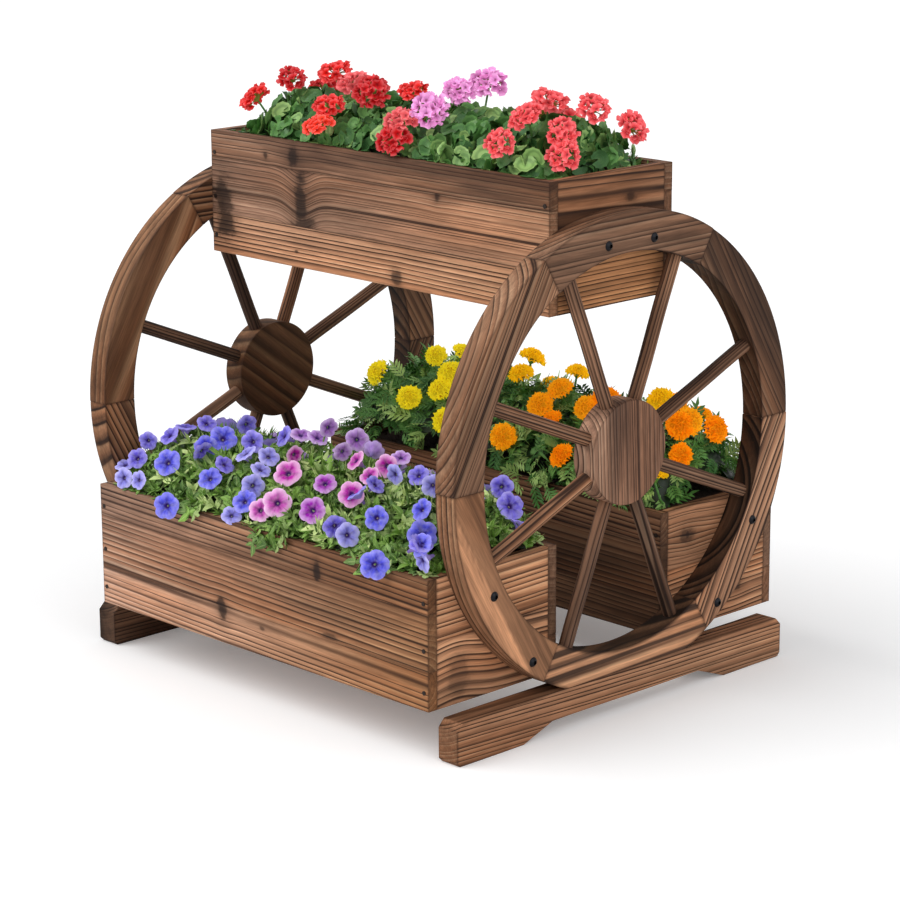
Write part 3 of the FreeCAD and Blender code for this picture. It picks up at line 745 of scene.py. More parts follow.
X, Y, Z = 0, 1, 2
board_wood = fir_material("torched_board")
FRONT = Wood(-0.08, 0.5, 0.45, 5.6, 1.05, 0.1, 0.03, -0.046, 0.016, 0.34)
UPPER = Wood(-0.12, 0.2, 0.7, 5.5, 0.95, 0.1, 0.0, 0.05, 0.02, 0.12)
BOARDS = {
    "front_box_front_side": (
        (0.30, FRONT._replace(tone=0.13, red=0.4, scorch=0.1, rings=5, fade=0.42),
         (-54.5, 35.0, 8, 11, 2, 0, 1.0), (8.7, 30.0, 5, 2.5, 1.0, 0, 0.8)),
        (0.74, FRONT, (-56.0, 41.0, 8, 9, 2, 0, 1.0), (115.0, 46.0, 12, 4, 1.5, 0, 0.8)),
        (1.0, FRONT._replace(tone=-0.06, scorch=0.7, rings=5.5, heart=-0.16, fade=0.30),
         (97.0, 110.0, 5, 13, 0.5, 0, 1.0))),
    "top_box_front_side": (
        (0.33, Wood(0.34, 0.6, 0.05, 5.4, 1.5, 0.1, 0.0, 0.08, 0.02, 0.08),
         (-237.0, 34.0, 17, 18, 0, 0, 1.0), (38.7, 11.0, 8, 7, 1, 0, 0.9), (-120.0, 17.0, 2.5, 1.5, 0, 0, 0.9)),
        (0.78, UPPER._replace(rings=4.0, heart=0.04, tone=0.12), (-112.0, 76.0, 10, 30, 0, -13, 1.0),
         (-107.0, 56.0, 17, 13, 0, 0, 0.95), (-243.0, 58.0, 17, 29, 0, 0, 1.0), (100.0, 103.0, 5, 6, 1.5, 0, 0.95)),
        (1.0, UPPER._replace(heart=-0.21, rings=5.0, tone=-0.22, scorch=0.9, depth=0.9), (-123.4, 120.5, 9, 11, 1, -1.5, 1.0),
         (-168.0, 117.0, 4, 4, 1.5, 0, 0.9))),
    "front_box_right_end": (
        (0.52, Wood(0.28, 0.9, 0.3, 7.0, 1.3, 0.4, 0.04, 0.05, 0.02), (-50.0, 28.0, 14, 26, 0, 7, 0.55)),
        (1.0, Wood(0.20, 0.9, 0.3, 6.5, 1.2, 0.3, -0.02, -0.20, 0.02))),
    "top_box_right_end": (
        (0.52, Wood(0.00, 1.8, 0.3, 5.0, 1.3, 0.1, 0.0, 0.08, 0.02)),
        (1.0, Wood(-0.16, 0.7, 0.6, 6.0, 1.1, 0.4, 0.05, -0.10, 0.03), (28.0, 108.0, 9, 5, 1, 0, 0.9))),
    # painted shade: the rear box's front side stands between the boxes, so its strips are painted darker
    "rear_box_front_side": (
        (0.30, Wood(-0.70, 0.9, 0.7, 5.0, 1.2, 0.2, 0.02, 0.06, 0.02)),
        (0.74, Wood(-0.68, 0.9, 0.7, 6.0, 1.2, 0.2, 0.02, 0.06, 0.02)),
        (1.0, Wood(-0.36, 0.7, 0.7, 5.0, 1.2, 0.2, 0.02, -0.16, 0.02))),
    "rear_box_right_end": (
        (0.52, Wood(0.06, 0.8, 0.4, 5.5, 1.3, 0.2, -0.03, 0.06, 0.02), (34.0, 31.0, 8, 7, 3, 0, 0.9)),
        (1.0, Wood(0.00, 0.8, 0.5, 4.5, 1.0, 0.1, 0.04, -0.20, 0.03), (-47.0, 105.0, 13, 9, 6, 0, 0.8),
         (-47.0, 105.0, 4, 3, 0, 0, 1.0))),
}
LOW_SEAMS = (0.30, 0.74)
TOP_SEAMS = (0.33, 0.78)
pick = random.Random(5)


def some_wood():
    """Wood of a board that the front view does not show."""
    return Wood(pick.uniform(-0.14, 0.10), pick.uniform(0.1, 0.5), pick.uniform(0.2, 0.7), pick.uniform(4, 6),
                1.0, pick.uniform(0.0, 0.4), pick.uniform(-0.03, 0.03), pick.choice((-1, 1)) * pick.uniform(0.03, 0.2),
                pick.uniform(0.015, 0.04))


def some_knot(along, across):
    return (pick.uniform(-along, along), pick.uniform(0.1, 0.9) * across, pick.uniform(4, 8), pick.uniform(4, 9),
            pick.uniform(1, 4), 0, 0.9)


seed = 100
for box, seams in (("front_box", LOW_SEAMS), ("rear_box", LOW_SEAMS), ("top_box", TOP_SEAMS)):
    for face in ("front_side", "rear_side"):
        seed += 10
        plain = [(top, some_wood(), some_knot(230, 136)) for top in (*seams, 1.0)]
        strip_board(f"{box}_{face}", X, Z, BOARDS.get(f"{box}_{face}", plain), seed)
    for end in ("left_end", "right_end"):
        seed += 10
        plain = [(0.52, some_wood()), (1.0, some_wood(), some_knot(70, 136))]
        strip_board(f"{box}_{end}", Y, Z, BOARDS.get(f"{box}_{end}", plain), seed)
    seed += 10
    strip_board(f"{box}_floor", X, Y, [(0.485, some_wood()), (1.0, some_wood())], seed)


# ------------------------------------------------------------------ fasteners
# Black button head bolts clamp the wheels to the box ends, small nails hold the box sides, and the
# bolts' inserts and the rim's dowels are hidden in the wood.
def metal_material(name, dark, bright, roughness, metallic):
    """Metal with handling marks. dark and bright are its two tones."""
    material = bpy.data.materials.new(name)
    material.use_nodes = True
    wires = Wires(material.node_tree)
    shader = material.node_tree.nodes["Principled BSDF"]
    where = wires.node("ShaderNodeTexCoord").outputs["Object"]
    marks = wires.noise(where, (700.0, 700.0, 700.0), 3.0, 0.6)
    wires.put(shader.inputs["Base Color"], wires.blend(marks, dark, bright))
    wires.put(shader.inputs["Roughness"], wires.math("MULTIPLY_ADD", marks, 0.25, roughness))
    shader.inputs["Metallic"].default_value = metallic
    bump = wires.node("ShaderNodeBump", {"Height": marks, "Distance": 0.05 * MM, "Strength": 0.6})
    wires.put(shader.inputs["Normal"], bump.outputs["Normal"])
    return material


def dress(node, material):
    """Gives a CAD node a finish of its own."""
    mesh = frame["nodes"][node].data
    mesh.materials.clear()
    mesh.materials.append(material)


dress("socket_bolts", metal_material("black_bolt", srgb(16, 16, 18), srgb(44, 44, 48), 0.22, 0.9))
dress("box_nails", metal_material("dark_nail", srgb(30, 24, 22), srgb(62, 50, 44), 0.45, 0.7))
dress("insert_nuts", metal_material("zinc_insert", srgb(150, 150, 146), srgb(196, 194, 186), 0.30, 1.0))

dowel_wood = bpy.data.materials.new("beech_dowel")
dowel_wood.use_nodes = True
wires = Wires(dowel_wood.node_tree)
fleck = wires.noise(wires.node("ShaderNodeTexCoord").outputs["Object"], (900.0, 260.0, 260.0), 3.0)
wires.put(dowel_wood.node_tree.nodes["Principled BSDF"].inputs["Base Color"],
          wires.blend(fleck, srgb(176, 134, 92), srgb(214, 178, 136)))
dress("rim_dowels", dowel_wood)


# ------------------------------------------------------------------ soil
# Each planting stands in a block of dark potting soil, matted by its roots, with loose crumbs on top.
SOIL_STEP = 7 * MM
SOIL_WAVE = 1.6 * MM
CRUMB = 3.2 * MM
CRUMBS_PER_M2 = 9000.0

soil_stuff = bpy.data.materials.new("potting_soil")
soil_stuff.use_nodes = True
wires = Wires(soil_stuff.node_tree)
where = wires.node("ShaderNodeTexCoord").outputs["Object"]
clod = wires.noise(where, (170.0, 170.0, 170.0), 4.0, 0.65)
speck = wires.noise(where, (900.0, 900.0, 900.0), 2.0)
brown = wires.blend(clod, srgb(28, 20, 16), srgb(84, 62, 48))
brown = wires.blend(wires.ramp(speck, (0.68, 0.0), (0.74, 0.7)), brown, srgb(150, 126, 100))
shader = soil_stuff.node_tree.nodes["Principled BSDF"]
wires.put(shader.inputs["Base Color"], brown)
wires.put(shader.inputs["Normal"], wires.node("ShaderNodeBump", {
    "Height": clod, "Distance": 3.0 * MM, "Strength": 1.0}).outputs["Normal"])
shader.inputs["Roughness"].default_value = 0.95


def random_value(wires, low, high, seed, key=None):
    """A random number or vector for each point."""
    vector = isinstance(low, tuple)
    made = wires.node("FunctionNodeRandomValue", data_type="FLOAT_VECTOR" if vector else "FLOAT")
    for k, value in zip((0, 1) if vector else (2, 3), (low, high)):
        wires.put(made.inputs[k], value)
    wires.put(made.inputs["Seed"], seed)
    return made.outputs[0 if vector else 1]


def make_scatter():
    """Copies of a small piece over a surface, each turned, sized and tinted by chance."""
    wires, get, put = new_group(
        "scatter",
        {"Geometry": ("Geometry", None), "Piece": ("Object", None), "Gap": ("Float", 0.008),
         "Number": ("Float", 5000.0), "Small": ("Float", 0.7), "Big": ("Float", 1.2),
         "Tilt": ("Float", 0.5), "Upright": ("Float", 0.5), "Flare": ("Float", 1.0), "Sink": ("Float", 0.0),
         "Seed": ("Int", 1),
         "Material": ("Material", None)},
        {"Geometry": "Geometry"}, "GeometryNodeTree")
    spread = wires.node("GeometryNodeDistributePointsOnFaces", {
        "Mesh": get["Geometry"], "Distance Min": get["Gap"], "Density Max": get["Number"],
        "Seed": get["Seed"]}, distribute_method="POISSON")
    chance = wires.math("MULTIPLY", 1.0, get["Seed"])
    out = wires.vector("NORMALIZE", spread.outputs["Normal"])
    flared = wires.vector("NORMALIZE", wires.vector("MULTIPLY", out, wires.join(get["Flare"], get["Flare"], 1.0)))
    lean = wires.vector("ADD", wires.scaled(flared, wires.math("SUBTRACT", 1.0, get["Upright"])),
                        wires.join(0.0, 0.0, get["Upright"]))
    jitter = wires.scaled(random_value(wires, (-1.0, -1.0, -1.0), (1.0, 1.0, 1.0), chance), get["Tilt"])
    lean = wires.vector("ADD", wires.vector("NORMALIZE", lean), jitter)
    stand = wires.node("FunctionNodeAlignRotationToVector", {"Vector": lean}, axis="Z")
    spin = wires.join(0.0, 0.0, random_value(wires, 0.0, math.tau, wires.math("ADD", chance, 7.0)))
    turned = wires.node("FunctionNodeRotateRotation", {
        "Rotation": stand.outputs[0],
        "Rotate By": wires.node("FunctionNodeEulerToRotation", {0: spin}).outputs[0]}, rotation_space="LOCAL")
    size = random_value(wires, get["Small"], get["Big"], wires.math("ADD", chance, 13.0))
    piece = wires.node("GeometryNodeObjectInfo", {"Object": get["Piece"]})
    low = wires.node("GeometryNodeSetPosition", {
        "Geometry": spread.outputs["Points"], "Offset": wires.scaled(out, wires.math(
            "MULTIPLY", random_value(wires, 0.0, 1.0, wires.math("ADD", chance, 19.0)),
            wires.math("MULTIPLY", get["Sink"], -1.0)))})
    placed = wires.node("GeometryNodeInstanceOnPoints", {
        "Points": low.outputs[0], "Instance": piece.outputs["Geometry"], "Rotation": turned.outputs[0],
        "Scale": size})
    tinted = wires.node("GeometryNodeStoreNamedAttribute", {
        "Geometry": placed.outputs[0], "Name": "tint",
        "Value": random_value(wires, (0.0, 0.0, 0.0), (1.0, 1.0, 1.0), wires.math("ADD", chance, 29.0))},
        domain="INSTANCE", data_type="FLOAT_VECTOR")
    real = wires.node("GeometryNodeRealizeInstances", {0: tinted.outputs[0]})
    done = wires.node("GeometryNodeSetMaterial", {"Geometry": real.outputs[0], "Material": get["Material"]})
    wires.put(put["Geometry"], done.outputs[0])
    return wires.tree


SCATTER = make_scatter()


def shape_object(name, verts, faces, petal=None):
    """A small shape to copy. petal: what its material reads at each point."""
    mesh = bpy.data.meshes.new(name)
    mesh.from_pydata([tuple(map(float, v)) for v in verts], [], faces)
    mesh.update()
    if petal is not None:
        write_points(mesh, "petal", petal)
    return bpy.data.objects.new(name, mesh)


def grid_mesh(name, low, high, height, step):
    """A sheet over a rectangle. height: from (x, y) to z."""
    columns = max(3, int((high[0] - low[0]) / step))
    rows = max(3, int((high[1] - low[1]) / step))
    xs, ys = np.linspace(low[0], high[0], columns), np.linspace(low[1], high[1], rows)
    verts = [(x, y, height(x, y)) for y in ys for x in xs]
    faces = [(r * columns + c, r * columns + c + 1, (r + 1) * columns + c + 1, (r + 1) * columns + c)
             for r in range(rows - 1) for c in range(columns - 1)]
    mesh = bpy.data.meshes.new(name)
    mesh.from_pydata(verts, [], faces)
    mesh.update()
    return mesh


def ripple(x, y, z, waves, seed=0.0):
    """Smooth chance from -1 to 1."""
    return noise.noise(Vector((x, y, z)) * waves + Vector((seed, 0.37 * seed, 0)))


crumb_shape = shape_object("crumb", [(CRUMB * x, CRUMB * y, CRUMB * 0.7 * z) for x, y, z in (
    (1, 0, 0), (0.2, 0.9, 0.1), (-0.9, 0.3, 0), (-0.4, -0.8, 0.1), (0.5, -0.7, 0), (0, 0, 0.9), (0, 0, -0.8))],
    [(0, 1, 5), (1, 2, 5), (2, 3, 5), (3, 4, 5), (4, 0, 5), (1, 0, 6), (2, 1, 6), (3, 2, 6), (4, 3, 6), (0, 4, 6)])
PLANTINGS = {"petunia": "front_box", "marigold": "rear_box", "geranium": "top_box"}
for k, plant in enumerate(PLANTINGS):
    low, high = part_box(plant + "_soil")
    shape = bmesh.new()
    bmesh.ops.create_cube(shape, size=1.0)
    bmesh.ops.scale(shape, vec=high - low, verts=shape.verts)
    bmesh.ops.translate(shape, vec=(high + low) / 2, verts=shape.verts)
    for axis in (X, Y, Z):
        normal = Vector([1.0 * (i == axis) for i in range(3)])
        for cut in range(1, int((high - low)[axis] / SOIL_STEP)):
            bmesh.ops.bisect_plane(shape, geom=shape.verts[:] + shape.edges[:] + shape.faces[:],
                                   plane_co=low + normal * cut * SOIL_STEP, plane_no=normal)
    middle = (high + low) / 2
    for v in shape.verts:
        inward = (middle - v.co).normalized()
        v.co += inward * SOIL_WAVE * (1 + ripple(*v.co, 60, k))
    block = bpy.data.meshes.new(plant + "_root_ball")
    shape.to_mesh(block)
    shape.free()
    top = grid_mesh("top", low + Vector((0.004, 0.004, 0)), high - Vector((0.004, 0.004, 0)),
                    lambda x, y: high.z - SOIL_WAVE, 20 * MM)
    crumbs = grown(SCATTER, {"Piece": crumb_shape, "Gap": 0.004, "Number": CRUMBS_PER_M2, "Small": 0.4,
                             "Big": 1.2, "Tilt": 1.0, "Upright": 0.5, "Sink": 0.0, "Seed": 40 + k,
                             "Material": soil_stuff}, start=top)
    add_piece(plant + "_root_ball", joined([block, crumbs], plant + "_root_ball"), soil_stuff,
              plant + "s", [plant + "_soil"], smooth=60.0, flat_faces=False)


# ------------------------------------------------------------------ leaves
# Every planting is a mound of leaves over the box's edge: small soft leaves on the petunias, ferny
# ones on the marigolds and round scalloped ones on the geraniums.
def leaf_material(name, dark, light, fresh, vein=0.5, ring=0.0):
    """A leaf. The tint attribute is its chance, petal is (base to tip, middle to edge, depth in the shade)."""
    material = bpy.data.materials.new(name)
    material.use_nodes = True
    wires = Wires(material.node_tree)
    shader = material.node_tree.nodes["Principled BSDF"]
    chance, young, gloss = wires.split(wires.attribute("tint").outputs["Vector"])
    along, across, deep = wires.split(wires.attribute("petal").outputs["Vector"])
    where = wires.node("ShaderNodeTexCoord").outputs["Object"]
    mottle = wires.noise(where, (90.0, 90.0, 90.0), 2.0)
    share = wires.math("MULTIPLY", wires.math("ADD", chance, mottle), 0.5)
    green = wires.blend(wires.ramp(share, (0.25, 0.0), (0.75, 1.0)), dark, light)
    green = wires.blend(wires.ramp(young, (0.72, 0.0), (0.95, 1.0)), green, fresh)
    side = wires.math("ABSOLUTE", across)
    rib = wires.ramp(side, (0.0, 1.0), (0.12, 0.25), (0.2, 0.0))
    twigs = wires.math("SINE", wires.math("MULTIPLY", wires.math("SUBTRACT", along, wires.math(
        "MULTIPLY", side, 0.35)), 42.0))
    twigs = wires.ramp(twigs, (0.75, 0.0), (1.0, 0.5))
    lines = wires.math("MULTIPLY", wires.math("MAXIMUM", rib, twigs), vein)
    green = wires.blend(lines, green, fresh)
    zone = wires.ramp(along, (0.42, 0.0), (0.58, 1.0), (0.70, 1.0), (0.84, 0.0))
    green = wires.blend(wires.math("MULTIPLY", zone, ring), green, dark)
    # painted shade: the third petal value darkens towards near black; only the sheet under the leaves has it
    green = wires.blend(wires.math("MULTIPLY", deep, 0.85), green, srgb(20, 28, 14))
    wires.put(shader.inputs["Base Color"], green)
    wires.put(shader.inputs["Roughness"], wires.math("MULTIPLY_ADD", gloss, 0.25, 0.38))
    shader.inputs["Specular IOR Level"].default_value = 0.4
    bump = wires.node("ShaderNodeBump", {"Height": lines, "Distance": 0.6 * MM, "Strength": 0.7})
    bump.invert = True
    wires.put(shader.inputs["Normal"], bump.outputs["Normal"])
    return material


def blade(length, width, stations, curl, fold, wave=0.0):
    """A long leaf along X from its stalk: points, faces and petal coordinates."""
    verts, faces, petal = [], [], []
    for i in range(stations):
        t = i / (stations - 1)
        half = width / 2 * (math.sin(math.pi * min(1.0, t * 0.92 + 0.06)) ** 0.75)
        for j, side in enumerate((-1, 0, 1)):
            lift = fold * abs(side) * half - curl * length * t * t + wave * side * math.sin(9 * t)
            verts.append((length * t, side * half, lift + 0.25 * length * t))
            petal.append((t, side, 0))
        if i:
            a = 3 * (i - 1)
            faces += [(a, a + 3, a + 4, a + 1), (a + 1, a + 4, a + 5, a + 2)]
    return verts, faces, petal


def merged(parts):
    """Several (points, faces, petal) sets as one."""
    verts, faces, petal = [], [], []
    for v, f, p in parts:
        base = len(verts)
        verts += list(v)
        faces += [tuple(base + i for i in face) for face in f]
        petal += list(p)
    return verts, faces, petal


def placed(part, turn=0.0, tip=0.0, shift=(0, 0, 0), scale=1.0):
    """A part tipped up about Y, turned about Z, scaled and moved."""
    moved = Matrix.Translation(shift) @ Matrix.Rotation(turn, 4, "Z") @ Matrix.Rotation(-tip, 4, "Y")
    verts, faces, petal = part
    return [tuple(moved @ (Vector(v) * scale)) for v in verts], faces, petal


def petunia_sprig():
    """Soft oval leaves round a tip, with two thin young ones."""
    leaf, young = blade(15 * MM, 7 * MM, 4, 0.35, 0.25), blade(15 * MM, 2.2 * MM, 3, -0.2, 0.2)
    parts = [placed(leaf, turn=k * math.tau / 4 + 0.4 * (k % 2), tip=0.15 + 0.25 * (k % 3),
                    scale=0.75 + 0.12 * k) for k in range(4)]
    parts += [placed(young, turn=1.1 + 2.2 * k, tip=0.8 + 0.3 * k) for k in range(3)]
    return merged(parts)


def marigold_frond():
    """A ferny leaf: narrow pointed leaflets in pairs along a rib, and one at its tip."""
    long = 24 * MM
    parts = [blade(long, 1.6 * MM, 3, 0.15, 0.0), placed(blade(13 * MM, 4.2 * MM, 3, 0.2, 0.3), shift=(long * 0.9, 0, 0))]
    for k in range(4):
        t = 0.25 + 0.2 * k
        z = long * (0.25 * t - 0.15 * t * t)
        for side in (-1, 1):
            parts.append(placed(blade((13 - abs(k - 1.5)) * MM, 3.8 * MM, 3, 0.25, 0.3), turn=side * 0.85,
                                shift=(long * t, 0, z)))
    return merged(parts)


def geranium_leaf():
    """A round leaf with a scalloped, gently waved edge, cupped at its stalk."""
    sides, radius = 20, 11 * MM
    verts, faces, petal = [(0, 0, 0)], [], [(0, 0, 0)]
    for ring, share in enumerate((0.55, 1.0)):
        for k in range(sides):
            angle = math.tau * (k + 0.5) / sides * 0.96 + 0.02 * math.tau
            scallop = 1 - 0.08 * (k % 2) * ring
            out = radius * share * scallop
            z = 3.2 * MM * share ** 2 + ring * 0.9 * MM * math.sin(3.5 * angle)
            verts.append((out * math.cos(angle), out * math.sin(angle), z))
            petal.append((share, 0.5, 0))
    for k in range(sides - 1):
        faces += [(0, 1 + k, 2 + k), (1 + k, 1 + sides + k, 2 + sides + k, 2 + k)]
    return verts, faces, petal


def mound(plant, front, crest, back, ends, bumps, least):
    """Height of a planting's leaves over its box. front, crest and back are heights in millimetres.

    least is how far above the soil the leaves always are.
    """
    low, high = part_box(plant + "_soil")
    middle, half_x, half_y = (low + high) / 2, (high.x - low.x) / 2, (high.y - low.y) / 2

    def height(x, y):
        share = (y - middle.y) / half_y
        edge = front if share < 0 else back
        z = edge + (crest - edge) * (1 - abs(share) ** 2.2)
        fall = max(0.0, abs(x / half_x) - 0.80) / 0.20
        z -= ends * fall ** 2
        z += bumps * (ripple(x, y, 0, 22, len(plant)) + 0.5 * ripple(x, y, 0, 60, 3))
        return max(z * MM, high.z + least * MM)

    return height


def leafy(plant, height, shape, material, overhang, gap, number, layers, seed, hanging=(), **settings):
    """The leaves of a planting, in layers over its mound, over a dark sheet of painted shade that fills the gaps under
    them.

    hanging: (from x, to x, depth) in millimetres of each place where leaves hang over the front board.
    """
    low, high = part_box(plant + "_soil")
    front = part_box(PLANTINGS[plant] + "_front_side")
    margin = Vector(overhang) * MM
    common = {"Piece": shape, "Material": material, **settings}
    parts, skirts = [], []
    for x0, x1, deep in hanging:
        skirt = grid_mesh("skirt", (x0 * MM, 0), (x1 * MM, 1), lambda x, t: 0, 0.25)
        for v in skirt.vertices:
            t = v.co.y
            v.co.y = front[1].y - t * (front[1].y - front[0].y + 6 * MM)
            v.co.z = front[1].z + (4 - deep * max(0.0, t - 0.4) ** 2) * MM
        skirts.append(grown(SCATTER, {**common, "Gap": gap * MM * 0.6, "Number": number * 2, "Seed": seed + 50},
                            start=skirt))
    for k in range(layers):
        drop = 9 * MM * k
        sheet = grid_mesh("mound", low - margin, high + margin, lambda x, y: height(x, y) - drop, 12 * MM)
        parts.append(grown(SCATTER, {**common, "Gap": gap * MM, "Number": number, "Seed": seed + k}, start=sheet))
    for part in parts:
        p = points_of(part)
        over = ((p < np.array(low)) | (p > np.array(high)))[:, :2].any(axis=1) & (p[:, 2] < front[1].z)
        p[over, 2] = front[1].z + 1 * MM
        p[:, X] = np.clip(p[:, X], 1.5 * MM - WHEEL_IN, WHEEL_IN - 1.5 * MM)
        part.vertices.foreach_set("co", p.astype(np.float32).ravel())
    # painted shade: a near-black sheet under the leaves, showing as shade in the gaps between them
    core = grid_mesh("core", low + Vector((0.004, 0.004, 0)), high - Vector((0.004, 0.004, 0)),
                     lambda x, y: max(height(x, y) - 16 * MM, high.z + 1 * MM), 12 * MM)
    write_points(core, "tint", (0.0, 0.0, 0.0))
    write_points(core, "petal", (0.3, 1.0, 1.0))
    parts.append(core)
    add_piece(plant + "_leaves", joined(parts + skirts, plant + "_leaves"), material, plant + "s",
              [plant + "_foliage"], smooth=60.0, flat_faces=False)


petunia_green = leaf_material("petunia_leaf", srgb(58, 100, 30), srgb(128, 172, 66), srgb(206, 226, 146))
marigold_green = leaf_material("marigold_leaf", srgb(42, 98, 38), srgb(106, 166, 76), srgb(178, 214, 122), 0.3)
geranium_green = leaf_material("geranium_leaf", srgb(44, 92, 40), srgb(98, 152, 74), srgb(160, 198, 116), 0.25, 0.4)

petunia_mound = mound("petunia", 200, 240, 228, 30, 8, 14)
marigold_mound = mound("marigold", 222, 268, 214, 40, 9, 14)
geranium_mound = mound("geranium", 572, 602, 582, 46, 9, 3)

leafy("petunia", petunia_mound, shape_object("petunia_sprig", *petunia_sprig()), petunia_green, (0, 5, 0),
      8, 16000.0, 2, 3, hanging=((-112, -88, 24), (0, 52, 50), (150, 215, 22)),
      Small=0.65, Big=1.15, Tilt=0.6, Upright=0.35, Flare=1.5, Sink=0.003)
leafy("marigold", marigold_mound, shape_object("marigold_frond", *marigold_frond()), marigold_green,
      (-6, 3, 0), 9, 13000.0, 3, 5, hanging=((-60, -30, 30), (40, 110, 36), (170, 215, 34)),
      Small=0.7, Big=1.15, Tilt=0.8, Upright=0.45, Flare=1.5, Sink=0.006)
leafy("geranium", geranium_mound, shape_object("geranium_leaf", *geranium_leaf()), geranium_green,
      (-8, 0, 0), 9, 13000.0, 3, 9, Small=0.6, Big=1.15, Tilt=0.75, Upright=0.1, Flare=4.0, Sink=0.006)


# ------------------------------------------------------------------ blooms
# Petunias are open trumpets of five joined petals, marigolds are ruffled pompons on stems, and a
# geranium's head is a ball of small five-petalled florets.
def make_standing():
    """A copy of a bloom at each point, faced along its facing and turned by chance."""
    wires, get, put = new_group(
        "standing",
        {"Geometry": ("Geometry", None), "Bloom": ("Object", None), "Seed": ("Int", 1),
         "Material": ("Material", None)},
        {"Geometry": "Geometry"}, "GeometryNodeTree")
    facing = wires.node("GeometryNodeInputNamedAttribute", {"Name": "facing"}, data_type="FLOAT_VECTOR")
    size = wires.node("GeometryNodeInputNamedAttribute", {"Name": "size"}, data_type="FLOAT_VECTOR")
    stand = wires.node("FunctionNodeAlignRotationToVector", {"Vector": facing.outputs[0]}, axis="Z")
    spin = wires.join(0.0, 0.0, random_value(wires, 0.0, math.tau, get["Seed"]))
    turned = wires.node("FunctionNodeRotateRotation", {
        "Rotation": stand.outputs[0],
        "Rotate By": wires.node("FunctionNodeEulerToRotation", {0: spin}).outputs[0]}, rotation_space="LOCAL")
    piece = wires.node("GeometryNodeObjectInfo", {"Object": get["Bloom"]})
    put_on = wires.node("GeometryNodeInstanceOnPoints", {
        "Points": get["Geometry"], "Instance": piece.outputs["Geometry"], "Rotation": turned.outputs[0],
        "Scale": size.outputs[0]})
    real = wires.node("GeometryNodeRealizeInstances", {0: put_on.outputs[0]})
    done = wires.node("GeometryNodeSetMaterial", {"Geometry": real.outputs[0], "Material": get["Material"]})
    wires.put(put["Geometry"], done.outputs[0])
    return wires.tree


STANDING = make_standing()


def petunia_bloom():
    """Trumpet of five joined lobes with ruffled edges, 1 unit of radius at its rim.

    petal is (centre to rim, or minus that on the outside; middle of a lobe; turn).
    """
    face = ((0.06, -0.34), (0.11, -0.30), (0.18, -0.19), (0.34, -0.08), (0.56, -0.01), (0.80, 0.02), (1.0, 0.0))
    behind = ((0.94, -0.06), (0.55, -0.26), (0.30, -0.56), (0.15, -0.92), (0.11, -1.20))
    sides = 30
    verts, faces, petal = [], [], []
    for i, (radius, z) in enumerate(face + behind):
        share = radius if i < len(face) else -radius
        for k in range(sides):
            angle = math.tau * k / sides
            lobe = abs(math.cos(2.5 * angle))
            out = radius * (1 - 0.14 * radius ** 2 * (1 - lobe) ** 1.5)
            ruffle = 0.05 * radius ** 3 * math.sin(10 * angle + 1) + 0.07 * radius ** 2 * (0.5 - lobe)
            verts.append((out * math.cos(angle), out * math.sin(angle), z - ruffle - 0.10 * radius ** 4))
            petal.append((share, lobe, angle / math.tau))
    for i in range(len(face) + len(behind) - 1):
        for k in range(sides):
            a, b = i * sides + k, i * sides + (k + 1) % sides
            faces.append((a, b, b + sides, a + sides))
    base = len(verts)
    verts += [(0, 0, -0.27), (0, 0, -1.24)]
    petal += [(0, 0, 0), (-0.1, 0, 0)]
    last = (len(face) + len(behind) - 1) * sides
    for k in range(sides):
        faces.append((base, (k + 1) % sides, k))
        faces.append((base + 1, last + k, last + (k + 1) % sides))
    return verts, faces, petal


def petal_fan(length, width, lift, wave, columns=3, rows=3, part=0.0, ragged=0.0):
    """One petal along X, wider at its waved tip, which may be ragged."""
    verts, faces, petal = [], [], []
    for i in range(rows):
        t = i / (rows - 1)
        for j in range(columns):
            s = 2 * j / (columns - 1) - 1
            half = width / 2 * (0.35 + 0.65 * math.sin(0.5 * math.pi * min(1.0, 1.25 * t)))
            tip = length * (t - 0.10 * t * s * s - ragged * t * (j % 2))
            verts.append((tip, s * half, lift * t * t + wave * t * (1 - 2 * abs(s))))
            petal.append((t, s, part))
        if i:
            for j in range(columns - 1):
                a = (i - 1) * columns + j
                faces.append((a, a + columns, a + columns + 1, a + 1))
    return verts, faces, petal


def marigold_bloom():
    """Flattened ball of ruffled petals in tiers, 1 unit of radius."""
    tiers = ((16, 0.00, 0.62, 0.40, -0.10), (15, 0.12, 0.56, 0.40, 0.10), (13, 0.25, 0.50, 0.38, 0.35),
             (11, 0.38, 0.42, 0.36, 0.65), (8, 0.50, 0.32, 0.32, 0.95), (5, 0.60, 0.18, 0.26, 1.25))
    bits = random.Random(3)
    parts = []
    for tier, (count, z, out, long, tip) in enumerate(tiers):
        for k in range(count):
            turn = math.tau * (k + 0.5 * (tier % 2) + bits.uniform(-0.2, 0.2)) / count
            start = out * 0.72
            petal = petal_fan(long * bits.uniform(0.80, 1.18), 0.30, 0.05, bits.uniform(0.10, 0.20), 5, part=bits.random(),
                              ragged=0.16)
            parts.append(placed(petal,
                                turn=turn, tip=tip + bits.uniform(-0.34, 0.34),
                                shift=(start * math.cos(turn), start * math.sin(turn), z - 0.15)))
    verts, faces, petal = merged(parts)
    cup = [((0.05, -0.62), 0), ((0.16, -0.48), 0), ((0.36, -0.20), 0), ((0.55, 0.0), 0), ((0.45, 0.25), 0),
           ((0.2, 0.42), 0), ((0.0, 0.47), 0)]
    sides, base = 10, len(verts)
    for (radius, z), _ in cup:
        for k in range(sides):
            angle = math.tau * k / sides
            verts.append((radius * math.cos(angle), radius * math.sin(angle), z))
            petal.append((-1.0 if z < -0.05 else 0.35, 0, 0.3))
    for i in range(len(cup) - 1):
        for k in range(sides):
            a, b = base + i * sides + k, base + i * sides + (k + 1) % sides
            faces.append((a, b, b + sides, a + sides))
    return verts, faces, petal


